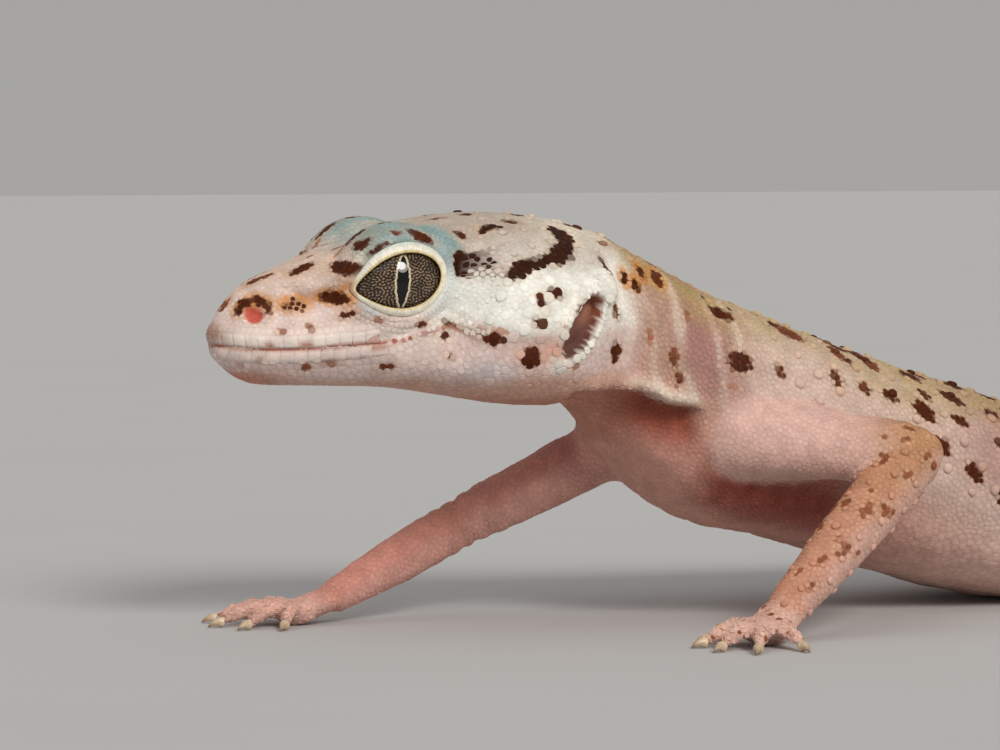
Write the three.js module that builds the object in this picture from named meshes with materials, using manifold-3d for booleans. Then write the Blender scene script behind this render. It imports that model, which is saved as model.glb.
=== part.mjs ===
// Leopard gecko (Eublepharis macularius), an adult at life size, as a still museum model.
// It stands with the chest raised, the left forelimb back, the right one reaching forward and the
// head level and turned a little to its right. The belly, hands, feet and tail rest on the floor.
//
// Millimetres, +Z up. The head points to -Y and the animal's left side to +X.
// The flesh is lofted whole and parted by thin cuts, so that each named part is its own solid.

import * as THREE from "three";
import { LoftGeometry } from "three/addons/geometries/LoftGeometry.js";
import { mergeVertices } from "three/addons/utils/BufferGeometryUtils.js";
import Module from "manifold-3d";

const wasm = await Module();
wasm.setup();

// ---------------------------------------------------------------- driving dimensions
const CUT = 0.3; // width of the cut between two parts
const FLOOR = 0; // everything is trimmed to this level, which leaves small flats
const RAD = Math.PI / 180;

// The head, in its own frame: x to its left, y back from the snout tip, z up from the lip at the snout.
const HEAD = {
  skull: 26, // snout tip to the skull base, where the head turns
  base: [-1.0, -10.0, 21.55], // the skull base in the body's frame
  yaw: 11, // degrees turned to its right
  pitch: 2, // degrees nose down
  roll: 2.5, // degrees the crown leans to its left
  step: 4, // spacing of the head lines' values
  tipRadius: 3.4, // the snout rounds off over this length
  tipHeight: 0.4, // height of the snout tip over the lip
  cutAt: 27, // where the head is parted from the neck
  sides: 22,
};

// Lengthwise lines of the head, every HEAD.step mm back from the snout.
const HEAD_LINES = {
  crownHeight: [3.2, 4.85, 6.3, 7.25, 8.25, 8.45, 8.0, 7.1],
  browHalf: [1.7, 2.6, 3.7, 5.1, 5.9, 6.5, 6.3, 5.2],
  browHeight: [2.3, 3.6, 5.1, 6.7, 6.8, 6.4, 5.8, 5.2],
  cheekHalf: [2.9, 4.3, 5.8, 7.3, 8.8, 9.7, 9.4, 7.3],
  cheekHeight: [0.1, 0.2, 0.4, 0.7, 0.9, 0.9, 0.7, 0.8],
  jawHalf: [1.9, 3.0, 4.1, 5.1, 6.2, 7.1, 7.1, 5.6],
  jawHeight: [-1.9, -2.35, -2.65, -2.85, -3.4, -4.1, -4.3, -3.8],
  keelHeight: [-2.65, -3.15, -3.35, -3.6, -4.3, -5.1, -5.45, -5.0],
};

// Height of the lip line, every HEAD.step mm, up to the corner of the mouth.
const MOUTH = { line: [-0.05, -0.27, -0.1, 0.28, 1.1, 1.1], corner: 14.5, jawEnd: 19 };

const EYE = {
  centre: [3.4, 12.3, 3.9],
  radius: 3.95,
  back: 2.3, // the ball is flat this far behind its centre
  forward: 10, // degrees that the gaze turns to the snout
  upward: 6,
  halfLength: 3.0, // the opening between the lids
  halfHeight: 1.98,
  frontNarrow: 0.38, // the front corner is more pointed than the rear one
  frontDrop: 0.33, // and lower
  rearRise: 0.4, // the rear corner is higher
  lid: 0.38, // radius of the rim round the opening
};

// Pits and the eardrum are ellipsoids: centre, half sizes, a lean back at the top and a turn of the
// outer face to the rear, both in degrees.
const EAR = { centre: [8.4, 24.6, 0.7], half: [2.0, 1.4, 2.05], lean: 30, turn: 8 };
const EARDRUM = { centre: [7.2, 24.45, 0.7], half: [0.3, 0.9, 1.35], lean: 30, turn: 8 };
const NOSTRIL = { centre: [2.5, 2.5, 2.0], half: [0.55, 0.55, 0.55], lean: 0, turn: 0 };

// The body from inside the head to the tail tip: x, y, half width, top and bottom of each section.
// Each section stands in a vertical plane across the body's heading.
const BODY = [
  [-1.9, -15, 5.6, 28.4, 18.2],
  [-1.0, -9, 7.2, 28.6, 15.8],
  [-0.4, -4, 7.4, 26.4, 9.9],
  [0, 1, 8.3, 23.9, 7.0],
  [0, 7, 9.2, 21.7, 5.7],
  [0, 14, 10.1, 19.3, 3.7],
  [0, 22, 11.0, 16.9, 1.3],
  [0, 30, 11.5, 14.9, -0.15],
  [0, 40, 11.4, 14.2, -0.2],
  [0, 50, 9.8, 14.0, 0.1],
  [0, 58, 7.8, 13.4, 0.7],
  [0, 66, 5.8, 12.2, 0.9],
  [0.6, 72.5, 5.0, 11.0, 0.6],
  [2.6, 82, 6.1, 11.5, -0.15],
  [6.8, 93, 6.6, 11.3, -0.2],
  [13.2, 105, 5.8, 9.6, -0.2],
  [21.8, 115.5, 4.2, 7.1, -0.15],
  [31.8, 123.5, 2.6, 4.6, -0.1],
  [42.5, 128, 0.9, 1.8, 0.05],
];
const SECTION_POWER = 2.3; // 2 is an ellipse, more is boxier

// Named lengths of the body, by where they start and end in BODY, and how many loft steps each has.
const BODY_PARTS = [
  { name: "neck", from: 0.3, to: 3.2, steps: 8 },
  { name: "chest", from: 3.2, to: 5.5, steps: 6 },
  { name: "belly", from: 5.5, to: 8.6, steps: 8 },
  { name: "hips", from: 8.6, to: 11.4, steps: 7 },
  { name: "tail_base", from: 11.4, to: 13.9, whorls: 10 },
  { name: "tail_middle", from: 13.9, to: 15.9, whorls: 8 },
  { name: "tail_tip", from: 15.9, to: 18, whorls: 8 },
];
const WHORL_RELIEF = 0.028; // how far a tail ring's crest stands over its groove, as a share of the width

// Radii of a limb at its root, along it and at its joints, half sizes of its palm, and its digits'
// lengths and plan angles, the innermost digit first.
const FORELIMB = {
  root: 3.2,
  upper: 2.6,
  elbow: 2.3,
  fore: 2.15,
  wrist: 1.45,
  palm: [1.9, 0.95],
  palmLength: 2.6,
  digits: [2.7, 3.8, 4.5, 4.7, 3.7],
  fan: [-58, -28, -2, 24, 58],
};
const HINDLIMB = {
  root: 4.3,
  upper: 3.3,
  elbow: 2.6,
  fore: 2.6,
  wrist: 1.6,
  palm: [2.1, 1.05],
  palmLength: 3.6,
  digits: [3.0, 4.6, 5.7, 6.1, 4.9],
  fan: [-52, -26, -4, 19, 62],
};
const DIGIT = { root: 0.82, tip: 0.5, arch: 1.75 };
const CLAW = { base: 0.36, tip: 0.24, length: 0.95, tipHeight: 0.2 };

// Joints of each limb in the body's frame, left side at +X. Girth is its share of the full thickness.
// Heading is the plan angle of the hand or foot, in degrees from straight ahead out to its own side.
const LIMBS = [
  {
    side: "left",
    kind: "fore",
    form: FORELIMB,
    girth: 1,
    joints: [[6.8, 0.8, 13.6], [13.8, 10.75, 12.5], [14.9, -1.3, 2.3]],
    heading: 24,
  },
  {
    side: "right",
    kind: "fore",
    form: FORELIMB,
    girth: 0.86, // stretched, so slimmer
    joints: [[-6.0, -2.6, 12.2], [-11.5, -11.6, 6.8], [-11.3, -22.6, 1.9]],
    heading: 12,
  },
  {
    side: "left",
    kind: "hind",
    form: HINDLIMB,
    girth: 1,
    joints: [[5.2, 60, 7.6], [17.2, 50.5, 8.0], [19.4, 63.5, 2.4]],
    heading: 38,
  },
  {
    side: "right",
    kind: "hind",
    form: HINDLIMB,
    girth: 1,
    joints: [[-5.2, 60, 7.6], [-18.3, 54.5, 7.4], [-20.4, 68, 2.4]],
    heading: 62,
  },
];

// ---------------------------------------------------------------- curves and lofts
const vec = (a) => new THREE.Vector3(...a);

// Catmull-Rom value at t of numbers that stand at 0, 1, 2 and so on.
function smoothAt(values, t) {
  const i = Math.max(0, Math.min(Math.floor(t), values.length - 2));
  const f = t - i;
  const [p1, p2] = [values[i], values[i + 1]];
  const p0 = i > 0 ? values[i - 1] : 2 * p1 - p2;
  const p3 = i + 2 < values.length ? values[i + 2] : 2 * p2 - p1;
  const slope = (p2 - p0) / 2;
  const next = (p3 - p1) / 2;
  return p1 + f * (slope + f * (3 * (p2 - p1) - 2 * slope - next + f * (slope + next - 2 * (p2 - p1))));
}

const signedPower = (x, n) => Math.sign(x) * Math.abs(x) ** n;

// A closed manifold solid from a three.js geometry.
function solidOf(geometry) {
  const bare = new THREE.BufferGeometry();
  bare.setAttribute("position", geometry.attributes.position);
  bare.setIndex(geometry.index);
  const merged = mergeVertices(bare, 1e-4);
  const corners = merged.index.array;
  const kept = [];
  for (let i = 0; i < corners.length; i += 3) {
    const [a, b, c] = corners.slice(i, i + 3);
    if (a !== b && b !== c && c !== a) kept.push(a, b, c);
  }
  const solid = new wasm.Manifold(
    new wasm.Mesh({
      numProp: 3,
      vertProperties: merged.attributes.position.array,
      triVerts: new Uint32Array(kept),
    }),
  );
  if (solid.volume() < 0) throw new Error("a loft is inside out");
  return solid;
}

const loft = (sections, caps = true) =>
  solidOf(new LoftGeometry(sections, { capStart: caps, capEnd: caps }));

// The solid moved by a three.js matrix, whose elements are column-major as manifold's are.
const moved = (solid, matrix) => solid.transform(matrix.elements);

// A ring of points round a centre: right and up are the section's axes, seen from the loft's end.
function ring(centre, right, up, halfWidth, halfHeight, sides) {
  return Array.from({ length: sides }, (_, k) => {
    const angle = (2 * Math.PI * k) / sides;
    return centre
      .clone()
      .addScaledVector(right, Math.cos(angle) * halfWidth)
      .addScaledVector(up, Math.sin(angle) * halfHeight);
  });
}

// Axes across a direction: right and up as seen from the loft's end, looking back.
function axesAcross(direction) {
  const side = new THREE.Vector3(0, 0, 1).cross(direction);
  if (side.length() < 1e-3) side.set(1, 0, 0);
  const right = side.normalize();
  const up = direction.clone().cross(right).normalize();
  return [right, up];
}

// A limb length from a to b with round ends. radii are at a, the middle and b; flat squashes its height.
function limbLength(a, b, radii, { flat = 1, sides = 10, steps = 7, grow = 0 } = {}) {
  const direction = b.clone().sub(a).normalize();
  const [right, up] = axesAcross(direction);
  const [startRadius, , endRadius] = radii;
  const total = a.distanceTo(b) + startRadius + endRadius;
  const sections = [];
  for (let i = 0; i <= steps; i++) {
    const u = 0.5 - 0.5 * Math.cos((Math.PI * i) / steps);
    const along = u * total - startRadius;
    const toEnd = Math.min((along + startRadius) / startRadius, (total - startRadius - along) / endRadius, 1);
    const rounding = Math.sqrt(Math.max(1 - (1 - toEnd) ** 2, 0.01));
    const radius = smoothAt(radii, 2 * u) * rounding + grow;
    const centre = a.clone().addScaledVector(direction, along + grow * (2 * u - 1));
    sections.push(ring(centre, right, up, radius, radius * flat, sides));
  }
  return loft(sections);
}

// A digit or claw along a curve, from one radius to another.
function taperedTube(curve, startRadius, endRadius, sides, steps) {
  const sections = [];
  for (let i = 0; i <= steps; i++) {
    const u = i / steps;
    const [right, up] = axesAcross(curve.getTangent(u));
    const radius = THREE.MathUtils.lerp(startRadius, endRadius, u) * (i === steps ? 0.55 : 1);
    sections.push(ring(curve.getPoint(u), right, up, radius, radius, sides));
  }
  return loft(sections);
}

// ---------------------------------------------------------------- body
const bodyColumn = (column) => BODY.map((station) => station[column]);
const [BODY_X, BODY_Y, BODY_HALF, BODY_TOP, BODY_BOTTOM] = [0, 1, 2, 3, 4].map(bodyColumn);

// Section of the body at station t, swollen by grow and by a share of its size.
function bodySection(t, sides, { grow = 0, swell = 0 } = {}) {
  const step = 0.01;
  const heading = new THREE.Vector3(
    smoothAt(BODY_X, t + step) - smoothAt(BODY_X, t - step),
    smoothAt(BODY_Y, t + step) - smoothAt(BODY_Y, t - step),
    0,
  ).normalize();
  const [right, up] = axesAcross(heading);
  const [top, bottom] = [smoothAt(BODY_TOP, t), smoothAt(BODY_BOTTOM, t)];
  const half = smoothAt(BODY_HALF, t) * (1 + swell) + grow;
  const tall = ((top - bottom) / 2) * (1 + swell) + grow;
  const centre = new THREE.Vector3(smoothAt(BODY_X, t), smoothAt(BODY_Y, t), (top + bottom) / 2);
  return Array.from({ length: sides }, (_, k) => {
    const angle = (2 * Math.PI * k) / sides;
    return centre
      .clone()
      .addScaledVector(right, signedPower(Math.cos(angle), 2 / SECTION_POWER) * half)
      .addScaledVector(up, signedPower(Math.sin(angle), 2 / SECTION_POWER) * tall);
  });
}

// A length of the body between two stations, its ends drawn in by half a cut.
function bodyLength({ from, to, steps, whorls }, sides, grow = 0) {
  const spacing = Math.hypot(
    smoothAt(BODY_X, from + 0.5) - smoothAt(BODY_X, from - 0.5),
    smoothAt(BODY_Y, from + 0.5) - smoothAt(BODY_Y, from - 0.5),
  );
  const trim = CUT / 2 / spacing;
  const count = whorls ? 2 * whorls : steps;
  const sections = [];
  for (let i = 0; i <= count; i++) {
    const t = THREE.MathUtils.lerp(from + trim, to - trim, i / count);
    const swell = whorls ? (i % 2 ? WHORL_RELIEF : -WHORL_RELIEF) : 0;
    sections.push(bodySection(t, sides, { grow, swell }));
  }
  return loft(sections);
}

// ---------------------------------------------------------------- head
const headLine = (name, back) => smoothAt(HEAD_LINES[name], back / HEAD.step);

// Section of the head this far back from the snout, through eight points on its lengthwise lines.
function headSection(back, grow = 0) {
  const rounding = back < HEAD.tipRadius ? Math.sqrt(1 - (1 - back / HEAD.tipRadius) ** 2) : 1;
  const point = (half, height) => {
    const lifted = HEAD.tipHeight + (height - HEAD.tipHeight) * rounding;
    const spread = half * rounding;
    const reach = Math.hypot(spread, lifted - HEAD.tipHeight) || 1;
    return new THREE.Vector3(
      spread * (1 + grow / reach),
      back,
      HEAD.tipHeight + (lifted - HEAD.tipHeight) * (1 + grow / reach),
    );
  };
  const left = [
    point(headLine("browHalf", back), headLine("browHeight", back)),
    point(headLine("cheekHalf", back), headLine("cheekHeight", back)),
    point(headLine("jawHalf", back), headLine("jawHeight", back)),
  ];
  const right = left.map((p) => new THREE.Vector3(-p.x, p.y, p.z)).reverse();
  const crown = point(0, headLine("crownHeight", back));
  const keel = point(0, headLine("keelHeight", back));
  const curve = new THREE.CatmullRomCurve3([keel, ...right, crown, ...left], true, "catmullrom", 0.5);
  return curve.getPoints(HEAD.sides).slice(0, HEAD.sides);
}

function headLoft(end, grow = 0) {
  const stations = [0.06, 0.35, 0.9, 1.7, 2.7];
  for (let back = 4; back < end; back += 2.05) stations.push(back);
  stations.push(end);
  return loft(stations.map((back) => headSection(back, grow)));
}

// Frame of an eye: outward along the gaze, to the snout and up.
function eyeFrame(side) {
  const outward = new THREE.Vector3(1, 0, 0)
    .applyAxisAngle(new THREE.Vector3(0, 1, 0), -EYE.upward * RAD)
    .applyAxisAngle(new THREE.Vector3(0, 0, 1), -EYE.forward * RAD);
  const snoutward = new THREE.Vector3(0, -1, 0);
  snoutward.addScaledVector(outward, -snoutward.dot(outward)).normalize();
  const up = snoutward.clone().cross(outward);
  const centre = vec(EYE.centre);
  for (const v of [outward, snoutward, up, centre]) v.x *= side;
  return { centre, outward, snoutward, up };
}

// A point over the eye: along to the snout and up from the gaze, this far from the eye's centre.
function overEye({ centre, outward, snoutward, up }, [along, height], distance) {
  return centre
    .clone()
    .addScaledVector(snoutward, along)
    .addScaledVector(up, height)
    .addScaledVector(outward, Math.sqrt(distance ** 2 - along ** 2 - height ** 2));
}

// The opening between the lids at this angle, where 0 is the front corner: along to the snout, and up.
function almond(angle, widen = 0) {
  const front = ((1 + Math.cos(angle)) / 2) ** 3;
  const rear = ((1 - Math.cos(angle)) / 2) ** 3;
  const height = (EYE.halfHeight + widen) * Math.sin(angle) * (1 - EYE.frontNarrow * front);
  return [
    (EYE.halfLength + widen) * Math.cos(angle),
    height - EYE.frontDrop * front + EYE.rearRise * rear,
  ];
}

// The eyeball: a sphere flattened behind.
function eyeBall(side, grow = 0) {
  const radius = EYE.radius + grow;
  const flat = EYE.back + grow;
  const widest = Math.acos(-flat / radius);
  const steps = 6;
  const profile = [new THREE.Vector2(0, -flat)];
  for (let i = 0; i < steps; i++) {
    const angle = widest * (1 - i / steps);
    profile.push(new THREE.Vector2(radius * Math.sin(angle), radius * Math.cos(angle)));
  }
  profile.push(new THREE.Vector2(0, radius));
  const { centre, outward } = eyeFrame(side);
  const turn = new THREE.Quaternion().setFromUnitVectors(new THREE.Vector3(0, 1, 0), outward);
  const place = new THREE.Matrix4().compose(centre, turn, new THREE.Vector3(1, 1, 1));
  return moved(solidOf(new THREE.LatheGeometry(profile, 11)), place);
}

// The rim of the lids round the opening: a closed loop of half-round section that lies over the ball.
function lidRim(side) {
  const frame = eyeFrame(side);
  const steps = 16;
  const reach = EYE.radius + CUT;
  const at = (k) => overEye(frame, almond((2 * Math.PI * (k % steps)) / steps, EYE.lid), reach);
  const sections = [];
  for (let k = 0; k <= steps; k++) {
    const middle = at(k);
    const tangent = at(k + 1).sub(at(k + steps - 1)).normalize();
    const outward = middle.clone().sub(frame.centre).normalize();
    const across = outward.clone().cross(tangent).normalize();
    sections.push(
      [0, 0.25, 0.5, 0.75, 1].map((turn) =>
        middle
          .clone()
          .addScaledVector(across, Math.cos(Math.PI * turn) * EYE.lid)
          .addScaledVector(outward, Math.sin(Math.PI * turn) * EYE.lid * 1.7),
      ),
    );
  }
  return loft(sections, false);
}

// The hole that holds an eye and its lids: room for the ball, and a flare out round the rim.
function eyeSocket(side) {
  const frame = eyeFrame(side);
  const steps = 16;
  const rim = Array.from({ length: steps }, (_, k) => {
    const point = almond((-side * 2 * Math.PI * k) / steps, 2 * EYE.lid + CUT);
    return overEye(frame, point, EYE.radius + 2 * EYE.lid);
  });
  const inner = rim.map((point) => point.clone().lerp(frame.centre, 0.4));
  const outer = rim.map((point) => point.clone().lerp(frame.centre, -0.9));
  return eyeBall(side, CUT).add(loft([inner, outer]));
}

function ellipsoid({ centre, half, lean, turn }, side) {
  const place = new THREE.Matrix4().compose(
    new THREE.Vector3(centre[0] * side, centre[1], centre[2]),
    new THREE.Quaternion().setFromEuler(new THREE.Euler(-lean * RAD, 0, side * turn * RAD, "ZYX")),
    vec(half),
  );
  return moved(solidOf(new THREE.SphereGeometry(1, 9, 6)), place);
}

// The thin cut of the mouth: along the lips to the corner, then down behind the jaw.
function mouthCut() {
  const lips = [];
  for (let back = -2; back <= MOUTH.corner; back += 2.9) {
    lips.push([back, smoothAt(MOUTH.line, Math.max(back, 0) / HEAD.step)]);
  }
  const half = CUT / 2;
  const behind = [[MOUTH.jawEnd - 1.5, -0.6], [MOUTH.jawEnd + 1.2, -7]];
  const over = [...lips.map(([y, z]) => [y, z + half]), ...behind.map(([y, z]) => [y + half, z])];
  const under = [...lips.map(([y, z]) => [y, z - half]), ...behind.map(([y, z]) => [y - half, z])];
  const outline = new THREE.Shape([...under, ...over.reverse()].map(([y, z]) => new THREE.Vector2(y, z)));
  const slab = new THREE.ExtrudeGeometry(outline, { depth: 30, bevelEnabled: false });
  slab.translate(0, 0, -15);
  slab.applyMatrix4(new THREE.Matrix4().makeBasis(vec([0, 1, 0]), vec([0, 0, 1]), vec([1, 0, 0])));
  return solidOf(slab);
}

// ---------------------------------------------------------------- the parts
const parts = {}; // solids by name, in the body's frame

const HEAD_PLACE = new THREE.Matrix4()
  .makeTranslation(...HEAD.base)
  .multiply(
    new THREE.Matrix4().makeRotationFromEuler(
      new THREE.Euler(HEAD.pitch * RAD, HEAD.roll * RAD, -HEAD.yaw * RAD, "ZYX"),
    ),
  )
  .multiply(new THREE.Matrix4().makeTranslation(0, -HEAD.skull, 0));

function addHead() {
  let flesh = headLoft(HEAD.cutAt);
  for (const [name, side] of [["left", 1], ["right", -1]]) {
    flesh = flesh
      .subtract(eyeSocket(side))
      .subtract(ellipsoid(EAR, side))
      .subtract(ellipsoid(NOSTRIL, side));
    parts["eye_" + name] = moved(eyeBall(side), HEAD_PLACE);
    parts["eyelid_" + name] = moved(lidRim(side), HEAD_PLACE);
    parts["eardrum_" + name] = moved(ellipsoid(EARDRUM, side), HEAD_PLACE);
  }
  const [upper, lower] = flesh
    .subtract(mouthCut())
    .decompose()
    .sort((a, b) => b.volume() - a.volume());
  parts.head = moved(upper, HEAD_PLACE);
  parts.jaw = moved(lower, HEAD_PLACE);
}

function addBody() {
  for (const part of BODY_PARTS) parts[part.name] = bodyLength(part, part.whorls ? 10 : 18);
  // The neck starts at a flat cut behind the head, square to the head.
  const ahead = new THREE.BoxGeometry(60, 60, 60).translate(0, HEAD.cutAt + CUT - 30, 0);
  parts.neck = parts.neck.subtract(moved(solidOf(ahead), HEAD_PLACE));
}

// A hand or foot: a flat palm and five arched digits, each with its claw.
function addPaw(name, side, form, wrist, heading, shank) {
  const outTo = (angle) => new THREE.Vector3(side * Math.sin(angle * RAD), -Math.cos(angle * RAD), 0);
  const ahead = outTo(heading);
  const [halfWidth, halfHeight] = form.palm;
  const knuckles = wrist.clone().addScaledVector(ahead, form.palmLength).setZ(halfHeight);
  const palmRadii = [form.wrist, halfWidth, halfWidth * 0.9];
  let paw = limbLength(wrist, knuckles, palmRadii, { flat: halfHeight / halfWidth, steps: 4 });
  form.digits.forEach((length, i) => {
    const along = outTo(heading + form.fan[i]);
    const root = knuckles.clone().addScaledVector(along, halfWidth * 0.35);
    const tip = knuckles.clone().addScaledVector(along, halfWidth * 0.6 + length);
    const crest = root.clone().lerp(tip, 0.55).setZ(DIGIT.arch);
    tip.z = DIGIT.tip * 0.9;
    const bones = new THREE.QuadraticBezierCurve3(root, crest, tip);
    paw = paw.add(taperedTube(bones, DIGIT.root, DIGIT.tip, 5, 3));
    const base = tip.clone().addScaledVector(bones.getTangent(1), CUT);
    const middle = base.clone().addScaledVector(along, CLAW.length * 0.6);
    const point = base.clone().addScaledVector(along, CLAW.length).setZ(CLAW.tipHeight);
    const hook = new THREE.QuadraticBezierCurve3(base, middle, point);
    parts[`claw_${name}_${i + 1}`] = taperedTube(hook, CLAW.base, CLAW.tip, 4, 2);
  });
  parts[name] = paw.subtract(shank);
}

function addLimbs() {
  const trunk = bodyLength({ from: 1, to: 13, steps: 32 }, 20, CUT);
  for (const { side: name, kind, form, girth, joints, heading } of LIMBS) {
    const side = name === "left" ? 1 : -1;
    const [root, elbow, wrist] = joints.map(vec);
    const upperRadii = [form.root, form.upper, form.elbow].map((radius) => radius * girth);
    const lowerRadii = [form.elbow, form.fore, form.wrist].map((radius) => radius * girth);
    const [upperName, lowerName, pawName] =
      kind === "fore" ? ["upper_arm", "forearm", "hand"] : ["thigh", "shank", "foot"];
    parts[`${upperName}_${name}`] = limbLength(root, elbow, upperRadii).subtract(trunk);
    parts[`${lowerName}_${name}`] = limbLength(elbow, wrist, lowerRadii)
      .subtract(limbLength(root, elbow, upperRadii, { grow: CUT }))
      .subtract(trunk);
    const shank = limbLength(elbow, wrist, lowerRadii, { grow: CUT });
    addPaw(`${pawName}_${name}`, side, form, wrist, heading, shank);
  }
}

addHead();
addBody();
addLimbs();

// ---------------------------------------------------------------- the model
const FINISH = {
  eye: { color: 0x2e211b, roughness: 0.12 },
  eyelid: { color: 0xefe3bf, roughness: 0.7 },
  eardrum: { color: 0x8d6468, roughness: 0.6 },
  jaw: { color: 0xe9d2c8, roughness: 0.75 },
  claw: { color: 0xd9c3a6, roughness: 0.45 },
  tail: { color: 0xe9e2da, roughness: 0.8 },
  skin: { color: 0xeadba6, roughness: 0.75 },
};

function meshOf(name, solid) {
  const { vertProperties, triVerts } = solid.getMesh();
  const geometry = new THREE.BufferGeometry();
  geometry.setAttribute("position", new THREE.Float32BufferAttribute(vertProperties, 3));
  geometry.setIndex(Array.from(triVerts));
  geometry.computeVertexNormals();
  const finish = FINISH[name.split("_")[0]] ?? FINISH.skin;
  const mesh = new THREE.Mesh(geometry, new THREE.MeshStandardMaterial({ ...finish, metalness: 0 }));
  mesh.name = name;
  return mesh;
}

const group = new THREE.Group();
group.name = "leopard_gecko";
const underFloor = solidOf(new THREE.BoxGeometry(600, 600, 40).translate(0, 0, FLOOR - 20));
for (const [name, solid] of Object.entries(parts)) {
  const pieces = solid.subtract(underFloor).decompose();
  const largest = pieces.reduce((best, piece) => (piece.volume() > best.volume() ? piece : best));
  group.add(meshOf(name, largest));
}

// The origin is the middle of the bounding box's bottom.
const box = new THREE.Box3().setFromObject(group);
const middle = box.getCenter(new THREE.Vector3());
for (const mesh of group.children) mesh.geometry.translate(-middle.x, -middle.y, -box.min.z);

export default group;
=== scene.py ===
"""Leopard gecko at life size, standing with its chest raised and its head turned a little to its right.

One skin covers the flesh. Its scales are small solid domes on it, and both take their colours from the
same markings. The eyes, the rims of the lids, the eardrums and the claws are pieces of their own.
Measures are millimetres in the animal's own axes, -Y to the snout and +X to its left, until a mesh is made.
"""

import itertools
import math
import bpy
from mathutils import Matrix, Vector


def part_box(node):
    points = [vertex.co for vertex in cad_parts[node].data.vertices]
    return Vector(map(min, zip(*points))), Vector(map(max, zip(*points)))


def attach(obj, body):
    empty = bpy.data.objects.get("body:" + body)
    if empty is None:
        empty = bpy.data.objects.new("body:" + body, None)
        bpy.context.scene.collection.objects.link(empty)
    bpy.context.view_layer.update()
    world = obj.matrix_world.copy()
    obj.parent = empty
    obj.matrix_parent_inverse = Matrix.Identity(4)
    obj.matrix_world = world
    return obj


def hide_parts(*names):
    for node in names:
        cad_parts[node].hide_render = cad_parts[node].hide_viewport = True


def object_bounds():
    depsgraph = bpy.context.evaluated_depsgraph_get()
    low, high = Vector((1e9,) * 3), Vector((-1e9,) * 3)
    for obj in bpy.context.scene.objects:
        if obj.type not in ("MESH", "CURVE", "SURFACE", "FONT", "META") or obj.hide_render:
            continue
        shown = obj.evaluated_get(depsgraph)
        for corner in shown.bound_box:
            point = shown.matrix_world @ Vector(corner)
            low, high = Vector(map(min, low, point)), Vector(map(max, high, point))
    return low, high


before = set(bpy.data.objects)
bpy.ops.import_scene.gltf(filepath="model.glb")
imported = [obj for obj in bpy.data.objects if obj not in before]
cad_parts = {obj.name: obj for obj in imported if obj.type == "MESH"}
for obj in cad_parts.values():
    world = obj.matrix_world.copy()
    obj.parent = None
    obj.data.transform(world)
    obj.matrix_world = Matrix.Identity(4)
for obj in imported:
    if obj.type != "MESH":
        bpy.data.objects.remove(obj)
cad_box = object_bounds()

from types import SimpleNamespace

import bpy
import numpy as np
from mathutils.bvhtree import BVHTree
from mathutils.kdtree import KDTree

# ---------------------------------------------------------------- measures shared with the solids
COAT = 0.12  # the skin lies this far inside the solids, and the scales fill the rest
HALF_CUT = 0.15

SKULL = 26.0  # snout tip to the skull base
SKULL_BASE = np.array([-1.0, -10.0, 21.55])
HEAD_YAW, HEAD_PITCH, HEAD_ROLL = 11, 2, 2.5
LINE_STEP = 4.0  # spacing of the head lines' values, from the snout tip back
TIP_RADIUS, TIP_HEIGHT = 3.4, 0.4
CROWN_HEIGHT = [3.2, 4.85, 6.3, 7.25, 8.25, 8.45, 8.0, 7.1]
BROW = ([1.7, 2.6, 3.7, 5.1, 5.9, 6.5, 6.3, 5.2], [2.3, 3.6, 5.1, 6.7, 6.8, 6.4, 5.8, 5.2])
CHEEK = ([2.9, 4.3, 5.8, 7.3, 8.8, 9.7, 9.4, 7.3], [0.1, 0.2, 0.4, 0.7, 0.9, 0.9, 0.7, 0.8])
JAW = ([1.9, 3.0, 4.1, 5.1, 6.2, 7.1, 7.1, 5.6], [-1.9, -2.35, -2.65, -2.85, -3.4, -4.1, -4.3, -3.8])
KEEL_HEIGHT = [-2.65, -3.15, -3.35, -3.6, -4.3, -5.1, -5.45, -5.0]
LIP_LINE = [-0.05, -0.27, -0.1, 0.28, 1.1, 0.25]  # the mouth, and the crease that runs on behind its corner
MOUTH_CORNER, CREASE_END = 14.5, 19.8
FOLD_LINE = [-3.75, -3.8, -3.9, -4.15, -5.05, -5.35]  # the throat's fold, from FOLD_START back
FOLD_START, FOLD_STEP = 24.5, 1.8

EYE_CENTRE = np.array([3.4, 12.3, 3.9])  # left, back, up
EYE_RADIUS, EYE_FLAT = 3.95, 2.3
EYE_FORWARD, EYE_UPWARD = 10, 6
OPENING = (3.0, 1.98)  # half length and half height of the gap between the lids
FRONT_NARROW, FRONT_DROP, REAR_RISE = 0.5, 0.35, 0.4
EAR, EAR_HALF = (24.35, 0.7), (1.18, 1.98)  # middle and half sizes, back and up
EAR_LEAN = 0.6
EARDRUM_CENTRE, EARDRUM_HALF = np.array([7.2, 24.45, 0.7]), np.array([0.3, 0.9, 1.35])
EARDRUM_LEAN, EARDRUM_TURN = 30, 8  # degrees back at the top, and of its face to the rear
NOSTRIL = (2.5, 2.05)

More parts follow.
